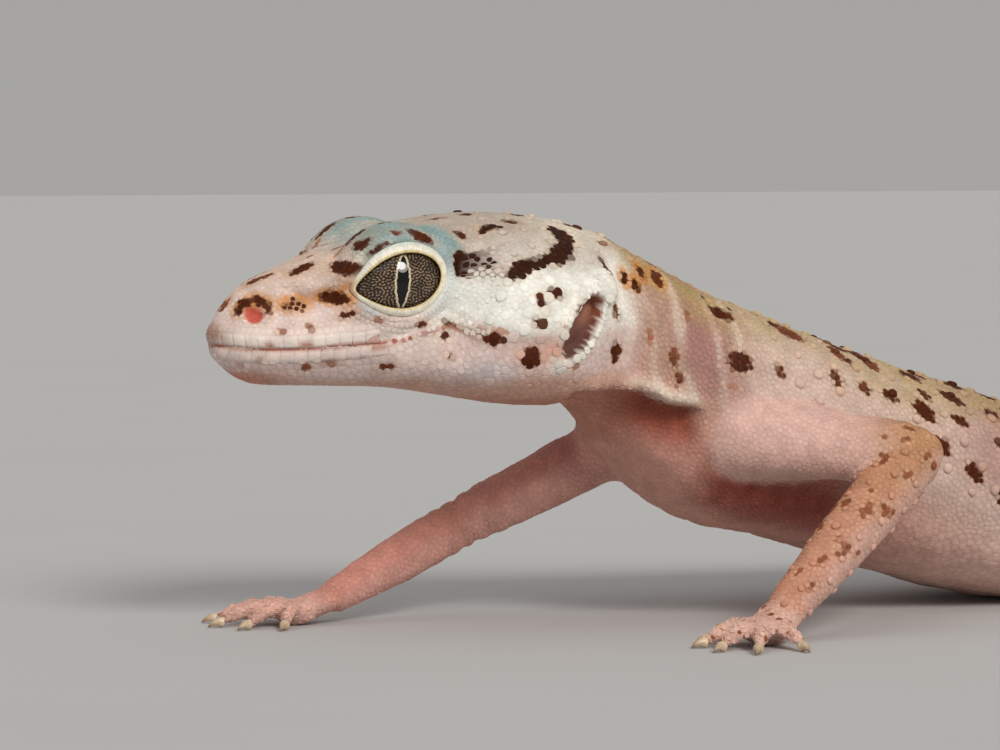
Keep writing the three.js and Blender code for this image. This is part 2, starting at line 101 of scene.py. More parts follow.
# x, y, half width, top and bottom of the body's sections, from inside the head to the tail tip.
BODY = np.array([
    [-1.9, -15, 5.6, 28.4, 18.2], [-1.0, -9, 7.2, 28.6, 15.8], [-0.4, -4, 7.4, 26.4, 9.9],
    [0, 1, 8.3, 23.9, 7.0], [0, 7, 9.2, 21.7, 5.7], [0, 14, 10.1, 19.3, 3.7],
    [0, 22, 11.0, 16.9, 1.3], [0, 30, 11.5, 14.9, -0.15], [0, 40, 11.4, 14.2, -0.2],
    [0, 50, 9.8, 14.0, 0.1], [0, 58, 7.8, 13.4, 0.7], [0, 66, 5.8, 12.2, 0.9],
    [0.6, 72.5, 5.0, 11.0, 0.6], [2.6, 82, 6.1, 11.5, -0.15], [6.8, 93, 6.6, 11.3, -0.2],
    [13.2, 105, 5.8, 9.6, -0.2], [21.8, 115.5, 4.2, 7.1, -0.15], [31.8, 123.5, 2.6, 4.6, -0.1],
    [42.5, 128, 0.9, 1.8, 0.05],
])
SECTION_POWER = 2.3
TAIL_WHORLS = ((11.4, 13.9, 10), (13.9, 15.9, 8), (15.9, 18.0, 8))  # from, to, how many rings
WHORL_RELIEF = 0.028
BELLY_START = 5.5

# Radii at the root, along and at the joints, half sizes of the palm, and the digits, innermost first.
FORELIMB = dict(radii=(3.2, 2.6, 2.3, 2.15, 1.45), palm=(1.9, 0.95), palm_length=2.6,
                digits=(2.7, 3.8, 4.5, 4.7, 3.7), fan=(-58, -28, -2, 24, 58))
HINDLIMB = dict(radii=(4.3, 3.3, 2.6, 2.6, 1.6), palm=(2.1, 1.05), palm_length=3.6,
                digits=(3.0, 4.6, 5.7, 6.1, 4.9), fan=(-52, -26, -4, 19, 62))
DIGIT_ROOT, DIGIT_TIP, DIGIT_ARCH = 0.82, 0.5, 1.75
CLAW_BASE, CLAW_LENGTH, CLAW_TIP_HEIGHT = 0.36, 0.95, 0.2

# name, side, form, girth, shoulder or hip, elbow or knee, wrist or ankle, heading of the hand or foot
LIMBS = (
    ("hand_left", 1, FORELIMB, 1.0, (6.8, 0.8, 13.6), (13.8, 10.75, 12.5), (14.9, -1.3, 2.3), 24),
    ("hand_right", -1, FORELIMB, 0.86, (-6.0, -2.6, 12.2), (-11.5, -11.6, 6.8), (-11.3, -22.6, 1.9), 12),
    ("foot_left", 1, HINDLIMB, 1.0, (5.2, 60, 7.6), (17.2, 50.5, 8.0), (19.4, 63.5, 2.4), 38),
    ("foot_right", -1, HINDLIMB, 1.0, (-5.2, 60, 7.6), (-18.3, 54.5, 7.4), (-20.4, 68, 2.4), 62),
)


# ---------------------------------------------------------------- curves, noise and frames
def ease(low, high, x):
    """0 up to low, 1 from high on, and a smooth step between; low may be the larger."""
    t = np.clip((x - low) / (high - low), 0, 1)
    return t * t * (3 - 2 * t)


def hill(x, width):
    """A smooth bump of height 1 at 0 that has sunk to 1/e at width."""
    return np.exp(-((x / width) ** 2))


def through(p0, p1, p2, p3, f):
    """Catmull-Rom: the cubic from p1 to p2 whose slope at each is half the step between its neighbours."""
    slope, following = (p2 - p0) / 2, (p3 - p1) / 2
    rise = p2 - p1
    return p1 + f * (slope + f * (3 * rise - 2 * slope - following + f * (slope + following - 2 * rise)))


def smooth_at(values, t):
    """The curve through values that stand at 0, 1, 2 and so on; its ends run on straight."""
    values = np.asarray(values, float)
    t = np.asarray(t, float)
    i = np.clip(np.floor(t).astype(int), 0, len(values) - 2)
    padded = np.concatenate([[2 * values[0] - values[1]], values, [2 * values[-1] - values[-2]]])
    return through(padded[i], padded[i + 1], padded[i + 2], padded[i + 3], t - i)


LATTICE = np.random.default_rng(11).random((32, 32, 32))


def mottle(points, size, seed=0):
    """Smooth noise from -1 to 1: random values on a lattice of this size, eased from corner to corner."""
    scaled = points / size + 5.37 * (seed + 1)
    cell = np.floor(scaled).astype(int)
    f = scaled - cell
    f = f * f * (3 - 2 * f)
    total = np.zeros(len(points))
    for corner in itertools.product((0, 1), repeat=3):
        share = np.prod(np.where(np.array(corner, bool), f, 1 - f), axis=1)
        total += share * LATTICE[tuple(((cell + corner) % len(LATTICE)).T)]
    return 2 * total - 1


def round_angles(count):
    """Angles at even steps once round, from 0."""
    return 2 * np.pi * np.arange(count) / count


def turned(axis, degrees):
    """Rotation matrix about axis 0, 1 or 2."""
    c, s = math.cos(math.radians(degrees)), math.sin(math.radians(degrees))
    matrix = np.eye(3)
    i, j = (axis + 1) % 3, (axis + 2) % 3
    matrix[[i, i, j, j], [i, j, i, j]] = c, -s, s, c
    return matrix


HEAD_TURN = turned(2, -HEAD_YAW) @ turned(1, HEAD_ROLL) @ turned(0, HEAD_PITCH)


def from_head(points):
    """Points given as left, back from the snout tip and up, in the animal's axes."""
    return SKULL_BASE + (points - [0, SKULL, 0]) @ HEAD_TURN.T


def to_head(points):
    return (points - SKULL_BASE) @ HEAD_TURN + [0, SKULL, 0]


# The solids' own origin, read off the belly, which is symmetrical and starts at a known section.
belly_low, belly_high = (1000 * np.array(corner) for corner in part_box("belly"))
ORIGIN = np.array([
    (belly_low[0] + belly_high[0]) / 2,
    belly_low[1] - float(smooth_at(BODY[:, 1], BELLY_START)) - HALF_CUT,
    0.0,
])


def unit(vectors):
    return vectors / np.maximum(np.linalg.norm(vectors, axis=-1, keepdims=True), 1e-9)


def axes_across(direction):
    """Unit vectors across a direction: level to its right, and up."""
    side = np.cross([0, 0, 1], direction)
    if np.linalg.norm(side) < 1e-3:
        side = np.array([1.0, 0, 0])
    right = unit(side)
    return right, unit(np.cross(direction, right))


def bezier(root, crest, tip, u):
    """Quadratic curve from root to tip pulled to crest, at shares u of its length."""
    u = np.asarray(u)[:, None]
    return (1 - u) ** 2 * root + 2 * u * (1 - u) * crest + u**2 * tip


# ---------------------------------------------------------------- surfaces
def head_grid(back, turn, grow=0.0):
    """The head at distances back from the snout and turns 0 to 8 round it.

    Each section is a closed curve through keel, jaw, cheek, brow, crown, brow, cheek and jaw, and
    the snout draws in as a circle over the tip's radius.
    """
    back = np.asarray(back, float)
    rounding = np.sqrt(np.clip(1 - np.clip(1 - back / TIP_RADIUS, 0, 1) ** 2, 0, 1))

    def corner(half, height):
        spread = half * rounding
        lift = (height - TIP_HEIGHT) * rounding
        scale = 1 + grow / np.maximum(np.hypot(spread, lift), 0.5)
        return np.stack([spread * scale, TIP_HEIGHT + lift * scale], -1)

    def line(values):
        return smooth_at(values, back / LINE_STEP)

    left = [corner(line(half), line(height)) for half, height in (BROW, CHEEK, JAW)]
    right = [point * [-1, 1] for point in reversed(left)]
    ring = np.stack([corner(0, line(KEEL_HEIGHT)), *right, corner(0, line(CROWN_HEIGHT)), *left])
    i = np.floor(turn).astype(int)
    section = through(*(ring[(i + k) % 8] for k in (-1, 0, 1, 2)), (turn - i)[:, None, None])
    points = np.empty((len(back), len(turn), 3))
    points[:, :, 0] = section[:, :, 0].T
    points[:, :, 1] = back[:, None]
    points[:, :, 2] = section[:, :, 1].T
    return points


def heading_at(station):
    """Unit plan direction of the body towards the tail at a station of BODY."""
    ahead = [smooth_at(BODY[:, k], station + 0.01) - smooth_at(BODY[:, k], station - 0.01) for k in (0, 1)]
    return unit(np.stack([*ahead, np.zeros_like(ahead[0])], -1))


def body_grid(station, angle, grow=0.0, swell=0.0):
    """The body and tail: superellipses that stand in vertical planes across the heading."""
    x, y, half, top, bottom = (smooth_at(BODY[:, k], station) for k in range(5))
    ahead = heading_at(station)
    right = np.stack([-ahead[:, 1], ahead[:, 0], np.zeros(len(station))], -1)
    tall = (top - bottom) / 2 * (1 + swell) + grow
    half = half * (1 + swell) + grow
    across, rise = (np.sign(w) * np.abs(w) ** (2 / SECTION_POWER) for w in (np.cos(angle), np.sin(angle)))
    centre = np.stack([x, y, (top + bottom) / 2], -1)
    points = centre[:, None] + right[:, None] * (half[:, None] * across)[..., None]
    points[..., 2] += tall[:, None] * rise
    return points


def limb_grid(start, end, radii, flat=1.0, grow=0.0, steps=26, sides=30):
    """A length of limb: a tube with round ends whose radius runs through the three given."""
    start, end = np.array(start, float), np.array(end, float)
    direction = unit(end - start)
    right, up = axes_across(direction)
    u = 0.5 - 0.5 * np.cos(np.pi * np.arange(steps + 1) / steps)
    total = np.linalg.norm(end - start) + radii[0] + radii[2]
    along = u * total - radii[0]
    to_end = np.minimum(np.minimum(u * total / radii[0], (total - u * total) / radii[2]), 1)
    radius = smooth_at(radii, 2 * u) * np.sqrt(np.maximum(1 - (1 - to_end) ** 2, 0.0025)) + grow
    angle = round_angles(sides)
    circle = np.cos(angle)[:, None] * right + flat * np.sin(angle)[:, None] * up
    centre = start + (along + grow * (2 * u - 1))[:, None] * direction
    return centre[:, None] + radius[:, None, None] * circle


def tube_grid(centres, radii, sides):
    """Circles of the given radii across a path of points."""
    tangent = unit(np.gradient(centres, axis=0))
    right = unit(np.cross([0, 0, 1], tangent))
    up = np.cross(tangent, right)
    angle = round_angles(sides)
    circle = np.cos(angle)[:, None] * right[:, None] + np.sin(angle)[:, None] * up[:, None]
    return centres[:, None] + radii[:, None, None] * circle


def loop_faces(rows, columns, first=0):
    """Quads of a grid whose rows close into rings."""
    i, k = np.meshgrid(np.arange(rows - 1), np.arange(columns), indexing="ij")
    following = (k + 1) % columns
    quads = np.stack([i * columns + k, i * columns + following,
                      (i + 1) * columns + following, (i + 1) * columns + k], -1)
    return quads.reshape(-1, 4) + first


def shell(grid):
    """Points and faces of a grid of rings, closed at both ends by a fan to a pole."""
    rows, columns, _ = grid.shape
    points = np.concatenate([grid.reshape(-1, 3), grid[0].mean(0)[None], grid[-1].mean(0)[None]])
    k = np.arange(columns)
    following = (k + 1) % columns
    last = (rows - 1) * columns
    start = np.stack([following, k, np.full(columns, rows * columns)], -1)
    end = np.stack([last + k, last + following, np.full(columns, rows * columns + 1)], -1)
    return points, [loop_faces(rows, columns), np.concatenate([start, end])]


def joined(shells):
    """Several point-and-face sets as one."""
    first = 0
    points, faces = [], []
    for part_points, part_faces in shells:
        points.append(part_points)
        faces += [face + first for face in part_faces]
        first += len(part_points)
    return np.concatenate(points), faces


def put_mesh(name, points, faces, to_metres=True, smooth=True):
    """A Blender mesh from points in millimetres and arrays of faces."""
    placed = (points + ORIGIN) / 1000 if to_metres else points
    mesh = bpy.data.meshes.new(name)
    sizes = np.concatenate([np.full(len(face), face.shape[1]) for face in faces])
    corners = np.concatenate([face.ravel() for face in faces])
    mesh.vertices.add(len(placed))
    mesh.vertices.foreach_set("co", placed.astype(np.float32).ravel())
    mesh.loops.add(len(corners))
    mesh.loops.foreach_set("vertex_index", corners.astype(np.int32))
    mesh.polygons.add(len(sizes))
    mesh.polygons.foreach_set("loop_start", np.concatenate([[0], np.cumsum(sizes)[:-1]]).astype(np.int32))
    mesh.polygons.foreach_set("use_smooth", np.full(len(sizes), smooth))
    mesh.update(calc_edges=True)
    return mesh


def linked(name, data):
    """A new object in the scene that shows this mesh, lamp or camera."""
    thing = bpy.data.objects.new(name, data)
    bpy.context.scene.collection.objects.link(thing)
    return thing


def put_piece(name, mesh, material, nodes=()):
    """The mesh as a piece of the animal: its material, the record's slot and the solids it stands for."""
    piece = linked(name, mesh)
    mesh.materials.append(material)
    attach(piece, "root")
    if nodes:
        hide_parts(*nodes)


def tint(mesh, colours):
    """Stores a linear colour at each vertex."""
    layer = mesh.color_attributes.new("tint", "FLOAT_COLOR", "POINT")
    full = np.concatenate([colours, np.ones((len(colours), 1))], axis=1)
    layer.data.foreach_set("color", full.astype(np.float32).ravel())


def put_bake_map(mesh, faces, plan):
    """The bake map of a coat piece: the place on the flat plan of each face's corner."""
    corners = np.concatenate([face.ravel() for face in faces])
    layer = mesh.uv_layers.new(name="OFBake")
    layer.data.foreach_set("uv", plan[corners].astype(np.float32).ravel())


def normals_of(points, quads):
    """Unit normals at the vertices of a mesh of quads: the mean of the crossed diagonals round each."""
    crossed = np.cross(points[quads[:, 2]] - points[quads[:, 0]], points[quads[:, 3]] - points[quads[:, 1]])
    total = [np.bincount(quads.ravel(), np.repeat(crossed[:, k], 4), len(points)) for k in range(3)]
    return unit(np.stack(total, -1))


def smoothed(points, quads, weight, rounds):
    """Moves each point towards the mean of its neighbours by its own weight, this many times."""
    ends = np.concatenate([quads[:, [0, 1]], quads[:, [1, 2]], quads[:, [2, 3]], quads[:, [3, 0]]])
    count = np.bincount(ends[:, 0], minlength=len(points))[:, None] + np.bincount(
        ends[:, 1], minlength=len(points))[:, None]
    for _ in range(rounds):
        total = np.stack([
            np.bincount(ends[:, 0], points[ends[:, 1], k], len(points))
            + np.bincount(ends[:, 1], points[ends[:, 0], k], len(points))
            for k in range(3)
        ], -1)
        points = points + weight[:, None] * (total / np.maximum(count, 1) - points)
    return points


# ---------------------------------------------------------------- the paws' bones
def paw_bones(side, form, wrist, heading):
    """Knuckles, and for each digit its root, crest, tip, direction and claw curve."""
    def out_to(angle):
        a = math.radians(angle)
        return np.array([side * math.sin(a), -math.cos(a), 0.0])

    half_width, half_height = form["palm"]
    knuckles = np.array(wrist) + out_to(heading) * form["palm_length"]
    knuckles[2] = half_height
    digits = []
    for length, spread in zip(form["digits"], form["fan"]):
        along = out_to(heading + spread)
        root = knuckles + along * half_width * 0.35
        tip = knuckles + along * (half_width * 0.6 + length)
        crest = root + 0.55 * (tip - root)
        crest[2] = DIGIT_ARCH
        tip[2] = DIGIT_TIP * 0.9
        digits.append(SimpleNamespace(root=root, crest=crest, tip=tip, along=along))
    return SimpleNamespace(knuckles=knuckles, digits=digits)


limbs = []
for name, side, form, girth, root, elbow, wrist, heading in LIMBS:
    radii = [radius * girth for radius in form["radii"]]
    limbs.append(SimpleNamespace(
        name=name, form=form, root=np.array(root), elbow=np.array(elbow), wrist=np.array(wrist),
        upper=(radii[0], radii[1], radii[2]), lower=(radii[2], radii[3], radii[4]),
        palm=(form["radii"][4], form["palm"][0], form["palm"][0] * 0.9),
        flat=form["palm"][1] / form["palm"][0],
        bones=paw_bones(side, form, wrist, heading),
    ))


def bone_segments(limb):
    """Straight lengths of a limb: start, end, radii at both, and how far along the limb they run."""
    palm = limb.form["palm"]
    segments = [
        (limb.root, limb.elbow, limb.upper[0], limb.upper[2], 0, 1),
        (limb.elbow, limb.wrist, limb.lower[0], limb.lower[2], 1, 2),
        (limb.wrist, limb.bones.knuckles, limb.lower[2], palm[1], 2, 2.6),
    ]
    for digit in limb.bones.digits:
        middle = bezier(digit.root, digit.crest, digit.tip, [0.5])[0]
        segments.append((digit.root, middle, DIGIT_ROOT, 0.66, 2.6, 3.3))
        segments.append((middle, digit.tip, 0.66, DIGIT_TIP, 3.3, 4))
    return segments


# ---------------------------------------------------------------- where a point lies on the animal
def locate(points):
    """Where points lie: in the head's axes, along and round the trunk, and along the nearest limb.

    A depth is how far a point stands out of a part's plain form, in millimetres. Station counts the
    trunk's sections, aside and rise are shares of its half width and half height, and on_head and
    on_limb are weights from 0 to 1.
    """
    here = SimpleNamespace(points=points)
    here.left, here.back, here.up = to_head(points).T

    coarse = np.linspace(0, len(BODY) - 1, 91)
    spine = np.stack([smooth_at(BODY[:, 0], coarse), smooth_at(BODY[:, 1], coarse)], -1)
    offset = points[:, None, :2] - spine
    station = coarse[np.argmin((offset**2).sum(2), axis=1)]
    for _ in range(3):
        plan = np.stack([smooth_at(BODY[:, 0], station), smooth_at(BODY[:, 1], station)], -1)
        speed = np.hypot(*(smooth_at(BODY[:, k], station + 0.05) - smooth_at(BODY[:, k], station - 0.05)
                           for k in (0, 1))) / 0.1
        ahead = heading_at(station)
        station = np.clip(station + ((points[:, :2] - plan) * ahead[:, :2]).sum(1) / speed, 0, len(BODY) - 1)
    x, y, half, top, bottom = (smooth_at(BODY[:, k], station) for k in range(5))
    ahead = heading_at(station)
    offset = points - np.stack([x, y, (top + bottom) / 2], -1)
    here.station = station
    here.aside = (offset[:, 0] * ahead[:, 1] - offset[:, 1] * ahead[:, 0]) / half
    here.rise = offset[:, 2] / ((top - bottom) / 2)
    out = (np.abs(here.aside) ** SECTION_POWER + np.abs(here.rise) ** SECTION_POWER) ** (1 / SECTION_POWER)
    here.trunk_depth = (out - 1) * np.minimum(half, (top - bottom) / 2)

    here.limb_depth = np.full(len(points), 1e3)
    here.limb = np.zeros(len(points), int)
    here.along = np.zeros(len(points))
    here.limb_angle = np.zeros(len(points))
    limb_ahead = np.zeros((len(points), 3))
    for index, limb in enumerate(limbs):
        for start, end, first_radius, last_radius, first, last in bone_segments(limb):
            bone = end - start
            share = np.clip((points - start) @ bone / (bone @ bone), 0, 1)
            away = points - start - share[:, None] * bone
            depth = np.linalg.norm(away, axis=1) - (first_radius + share * (last_radius - first_radius))
            nearer = depth < here.limb_depth
            right, up = axes_across(unit(bone))
            here.limb_depth[nearer] = depth[nearer]
            here.limb[nearer] = index
            here.along[nearer] = (first + share * (last - first))[nearer]
            here.limb_angle[nearer] = np.arctan2(away @ up, away @ right)[nearer]
            limb_ahead[nearer] = unit(bone)

    here.on_head = ease(30.5, 27.5, here.back) * (here.up > -8.5)
    here.on_limb = ease(-0.6, 0.6, here.trunk_depth - here.limb_depth) * (here.back > 29)
    here.on_limb[(here.up < -8.5) & (here.back <= 29)] = 1
    here.ahead = np.where(here.on_limb[:, None] > 0.5, limb_ahead,
                          np.where(here.on_head[:, None] > 0.5, HEAD_TURN[:, 1], ahead))
    return here


def opening(angle, widen=0.0):
    """The gap between the lids at an angle round it, 0 at the front corner: along to the snout, and up.

    It is an ellipse whose front corner is narrowed and lowered, and whose rear corner is raised, by
    the cubes of half cosines.
    """
    front, rear = (((1 + end * np.cos(angle)) / 2) ** 3 for end in (1, -1))
    height = (OPENING[1] + widen) * np.sin(angle) * (1 - FRONT_NARROW * front)
    return (OPENING[0] + widen) * np.cos(angle), height - FRONT_DROP * front + REAR_RISE * rear


def opening_edge(angle):
    """Points on the gap's edge at angles round it, and unit directions out from it."""
    edge = np.stack(opening(angle), -1)
    return edge, unit(np.stack(opening(angle, 0.02), -1) - edge)


def eye_axes(side):
    """Centre of an eye and its axes in the head: to the snout, up and out along the gaze."""
    outward = turned(2, -EYE_FORWARD) @ turned(1, -EYE_UPWARD) @ np.array([1.0, 0, 0])
    snoutward = unit(np.array([0, -1.0, 0]) + outward[1] * outward)
    up = np.cross(snoutward, outward)
    mirror = np.array([side, 1, 1])
    return EYE_CENTRE * mirror, np.stack([snoutward, up, outward]) * mirror


ROUND = np.linspace(0, 2 * np.pi, 241)
OPENING_POLAR = np.unwrap(np.arctan2(*opening(ROUND)[::-1]))
OPENING_REACH = np.hypot(*opening(ROUND))


def rim_half(angle):
    """Half width of the lids' rim at an angle round the eye: broad above, pinched at the front corner."""
    return 0.305 - 0.05 * np.cos(angle) + 0.06 * np.sin(angle) - 0.06 * np.cos(2 * angle)


def rim_level(angle, gap):
    """Distance from the eye's middle to the rim's outer face, this far out from the opening.

    The face slopes less than the ball does, so behind the eye the rim stands out and faces sideways.
    """
    x, y = opening(angle)
    inner = np.hypot(x, y)
    ball = EYE_RADIUS + 0.12
    out = np.sqrt(np.maximum(ball**2 - inner**2, 0.5))
    slope = np.minimum(inner / out, 0.75)
    return np.hypot(inner + gap, out - slope * gap)


def by_eye(here, side):
    """Along, up, out and distance from an eye, and how far outside the gap between its lids."""
    centre, axes = eye_axes(side)
    offset = np.stack([here.left, here.back, here.up], -1) - centre
    along, height, out = (offset @ axes.T).T
    angle = np.arctan2(height, along)
    edge = np.interp(angle, OPENING_POLAR, OPENING_REACH, period=2 * np.pi)
    return SimpleNamespace(along=along, height=height, out=out, angle=angle,
                           gap=np.hypot(along, height) - edge, distance=np.linalg.norm(offset, axis=1))


def by_ear(here):
    """Distances back and up from the leaning ear's middle, and the share of its opening's half sizes."""
    height = here.up - EAR[1]
    back = here.back - EAR[0] - EAR_LEAN * height
    return back, height, np.hypot(back / EAR_HALF[0], height / EAR_HALF[1])


def by_nostril(here):
    """Distance from the nostril's middle, 1 at its edge."""
    away = np.hypot((here.back - NOSTRIL[0]) / 0.56, (here.up - NOSTRIL[1]) / 0.52)
    return np.where(np.abs(here.left) > 0.8, away, 9.0)


def lip_height(back):
    """Height of the mouth's line, and of the crease behind it."""
    return smooth_at(LIP_LINE, np.clip(back, 0, 20) / LINE_STEP)


def over_fold(here):
    """Height over the fold of skin that runs from behind the jaw back to the shoulder."""
    return here.up - smooth_at(FOLD_LINE, (np.clip(here.back, 22, 36) - FOLD_START) / FOLD_STEP)


# ---------------------------------------------------------------- relief of the skin
def head_relief(here):
    """How far the head's skin swells or sinks along its normal, in millimetres."""
    back, up = here.back, here.up
    wide = np.abs(here.left)
    above = up - lip_height(back)
    mouth = 1 - 0.45 * ease(MOUTH_CORNER - 1, MOUTH_CORNER + 1, back) - 0.55 * ease(18.2, CREASE_END, back)
    swell = -0.13 * mouth * hill(above, 0.13)
    swell += 0.13 * mouth * hill(above - 0.7, 0.5) + 0.13 * mouth * hill(above + 0.65, 0.45)

    # the hollow under the ridge from nostril to eye, and the ridge
    swell -= 0.22 * hill(up - 2.2 - 0.05 * back, 0.7) * hill(back - 5.6, 2.2) * (wide > 1.5)
    swell += 0.16 * hill(up - 3.0 - 0.22 * back, 0.5) * hill(back - 5.5, 2.6) * (wide > 1)
    # the dip between the brows, and a groove down the snout
    swell -= 0.42 * hill(here.left, 1.9) * hill(back - 12.4, 2.6) * (up > 3)
    swell -= 0.15 * hill(here.left, 0.9) * hill(back - 6.5, 3.0) * (up > 2)
    # jowl, temple, and the pinched band from the mouth's crease to the ear
    swell += 0.35 * hill(back - 18.5, 4.2) * hill(up + 2.2, 1.5)
    swell += 0.25 * hill(back - 18.5, 3.0) * hill(up - 3.6, 1.8)
    swell -= 0.28 * hill(back - 20.5, 2.4) * hill(up + 0.35 + 0.1 * (back - 20.5), 0.7)
    # the chin's two pads at the tip, and the tip's notch
    swell -= 0.10 * hill(here.left, 0.35) * hill(back - 0.6, 1.2) * (up < -0.4)

    ear_back, ear_height, ear = by_ear(here)
    swell += 0.30 * hill(ear - 1.25, 0.25) * ease(0.3, -0.4, ear_back) * (wide > 4)
    swell += 0.16 * hill(ear - 1.2, 0.16) * ease(0.0, 0.8, ear_back) * (wide > 4)
    swell += 0.55 * ease(1.25, 0.7, np.hypot(back - 26.7, 0.85 * (up - 3.2))) * (wide > 3)
    swell -= 0.2 * hill(back - 27.8, 0.6) * ease(-3, 0, up)
    return swell


def neck_waves(here):
    """Upright wavy creases of the neck's side, from -1 in a groove to 1 on a crest, and where they are."""
    below = over_fold(here)
    side = ease(26.0, 28.0, here.back) * ease(42, 37, here.back) * ease(-0.4, 0.3, below)
    side = side * ease(0.25, 0.6, np.abs(here.aside)) * ease(4.6, 3.0, here.up)
    wave = here.back + 0.16 * here.up + 0.8 * mottle(here.points, 3.0, 1)
    return np.sin(2 * np.pi * wave / 2.3) * (0.6 + 0.4 * mottle(here.points, 2.2, 2)), side


def neck_relief(here):
    """Folds of the neck and shoulder: the long fold over the throat, and creases across the neck's side."""
    back, up = here.back, here.up
    below = over_fold(here)
    reach = ease(23.8, 26, back) * ease(34.6, 32.6, back) * ease(2.0, 4.5, np.abs(here.left))
    swell = reach * (0.45 * hill(below - 0.3, 0.55) - 1.25 * ease(0.0, -0.5, below) * ease(-4.4, -1.2, below))
    swell += 0.32 * hill(back - 32.7 - 0.06 * up, 0.42) * ease(-5.9, -4.9, up) * ease(-0.2, -1.6, up)
    waves, side = neck_waves(here)
    return swell + 0.2 * side * waves


def trunk_relief(here):
    """Soft unevenness of the trunk, and creases of the chest and armpit."""
    chest = ease(2.0, 3.0, here.station) * ease(5.6, 4.6, here.station) * ease(0.2, -0.4, here.rise)
    creases = np.sin(2 * np.pi * (here.points[:, 1] + 0.5 * mottle(here.points, 3.5, 3)) / 1.9)
    swell = 0.09 * chest * creases
    flank = ease(3.6, 5, here.station) * ease(11, 10, here.station)
    swell += 0.14 * flank * mottle(here.points, 3.2, 4) + 0.07 * mottle(here.points, 1.6, 5)
    swell -= 0.35 * flank * hill(np.abs(here.aside) - 1.0, 0.35) * hill(here.rise + 0.45, 0.25)
    return swell


def limb_relief(here):
    """Creases at the elbow, a faint unevenness, and knuckles along the digits."""
    elbow = hill(here.along - 1.0, 0.22)
    ripple = np.sin(2 * np.pi * here.along * 9 + 2 * mottle(here.points, 2.5, 6))
    swell = 0.08 * elbow * ripple + 0.06 * mottle(here.points, 1.5, 7)
    swell *= ease(3.2, 2.6, here.along)
    swell += 0.055 * np.cos(2 * np.pi * (here.along - 2.6) * 2.8) * ease(2.7, 2.9, here.along)
    return swell


def sunk_sockets(here, points):
    """The skin round each eye, drawn to the lids' outer face, and sunk under the rim inside them.

    Each point moves along its line from the ball's middle, so its gap is the one it ends with.
    """
    for side in (1, -1):
        eye = by_eye(here, side)
        centre, _ = eye_axes(side)
        flat_share = np.hypot(eye.along, eye.height) / np.maximum(eye.distance, 1e-3)
        edge = np.hypot(eye.along, eye.height) - eye.gap
        over = ease(-0.2, 0.6, np.sin(eye.angle))
        rim = rim_half(eye.angle)
        level = np.full(len(points), 4.2)
        for _ in range(4):
            gap = np.maximum(level * flat_share - edge, 0)
            level = rim_level(eye.angle, gap) + 0.04
        beyond = gap - 2 * rim
        level = level + over * (0.14 * hill(beyond - 0.35, 0.25) - 0.12 * hill(beyond - 1.1, 0.3))
        level = level + 0.07 * (1 - over) * hill(beyond - 0.45, 0.3)
        level = 3.6 + (level - 3.6) * ease(1.4 * rim, 1.4 * rim + 0.2, gap)
        facing = ease(-0.7, 0.5, eye.out) * (gap < 4) * (eye.distance < 8)
        share = ease(2.9, 1.3, gap) * facing
        wanted = eye.distance + share * (level - eye.distance)
        deep = np.where(eye.out > 0, EYE_RADIUS, EYE_FLAT)
        cover = 0.3 + 1 / np.sqrt((flat_share / EYE_RADIUS) ** 2 + (1 - flat_share**2) / deep**2)
        raised = (wanted + cover + np.sqrt((wanted - cover) ** 2 + 0.02)) / 2
        near = (share > 0) | (eye.distance < 6)
        past_rim = gap - 1.4 * rim
        wanted = np.where(near & (past_rim > 0), wanted + (raised - wanted) * ease(0, 0.2, past_rim), wanted)
        scale = (wanted / np.maximum(eye.distance, 1e-3))[:, None]
        local = to_head(points)
        local[near] = (centre + (local - centre) * scale)[near]
        points = np.where(near[:, None], from_head(local), points)
    return points


def relieved(points, quads):
    """The plain skin with its folds, lips, lids' surrounds, ear and nostril pits."""
    here = locate(points)
    normals = normals_of(points, quads)
    trunk = (1 - here.on_head) * (1 - here.on_limb)
    swell = here.on_head * head_relief(here) + here.on_limb * limb_relief(here)
    swell += trunk * trunk_relief(here) + (1 - here.on_limb) * neck_relief(here)
    points = sunk_sockets(here, points + normals * swell[:, None])

    _, _, ear = by_ear(here)
    pit = 1.35 * ease(1.04, 0.84, ear) * (np.abs(here.left) > 4) * here.on_head
    points = points - (pit * np.sign(here.left))[:, None] * HEAD_TURN[:, 0]
    points = points - (0.3 * ease(1.1, 0.6, by_nostril(here)) * here.on_head)[:, None] * normals
    points[:, 2] = np.maximum(points[:, 2], 0.02)
    return points


# ---------------------------------------------------------------- markings, with painted shade and highlights among them
def colour(red, green, blue):
    """A paint value of 0 to 255 as linear light."""
    value = np.array([red, green, blue]) / 255
    return np.where(value <= 0.04045, value / 12.92, ((value + 0.055) / 1.055) ** 2.4)


SNOUT, CHEEK_WHITE, CROWN = colour(230, 206, 196), colour(244, 239, 228), colour(188, 170, 154)
SNOUT_TOP, TEMPLE, NAPE = colour(214, 184, 162), colour(206, 192, 182), colour(222, 208, 190)
UPPER_LIP, LOWER_LIP = colour(236, 218, 208), colour(226, 204, 194)
# The lower jaw's and the chin's colours are the skin's warm tone darkened by painted shade, as if under the
# jaw.
JAW_PINK, JAW_LOW_TONE_AND_SHADE, CHIN_TONE_AND_SHADE = colour(226, 200, 192), colour(206, 160, 140), colour(188, 126, 104)
# The mouth's line is its pink darkened by painted shade in the crease between the lips.
MOUTH_PINK_AND_SHADE, NOSTRIL_PINK, NOSTRIL_RIM = colour(172, 98, 80), colour(204, 96, 80), colour(232, 206, 192)
SNOUT_TIP, BAND_PINK, JOWL_GREY = colour(150, 96, 72), colour(198, 146, 128), colour(214, 206, 208)
LID_CREAM, EAR_PINK = colour(232, 222, 206), colour(206, 150, 130)
RIM_CREAM, RIM_YELLOW = colour(236, 230, 212), colour(212, 188, 120)
RIM_BROWN, RIM_GREY = colour(66, 46, 26), colour(96, 92, 88)
CLAW_PALE, CLAW_DARK = colour(214, 190, 160), colour(120, 92, 70)
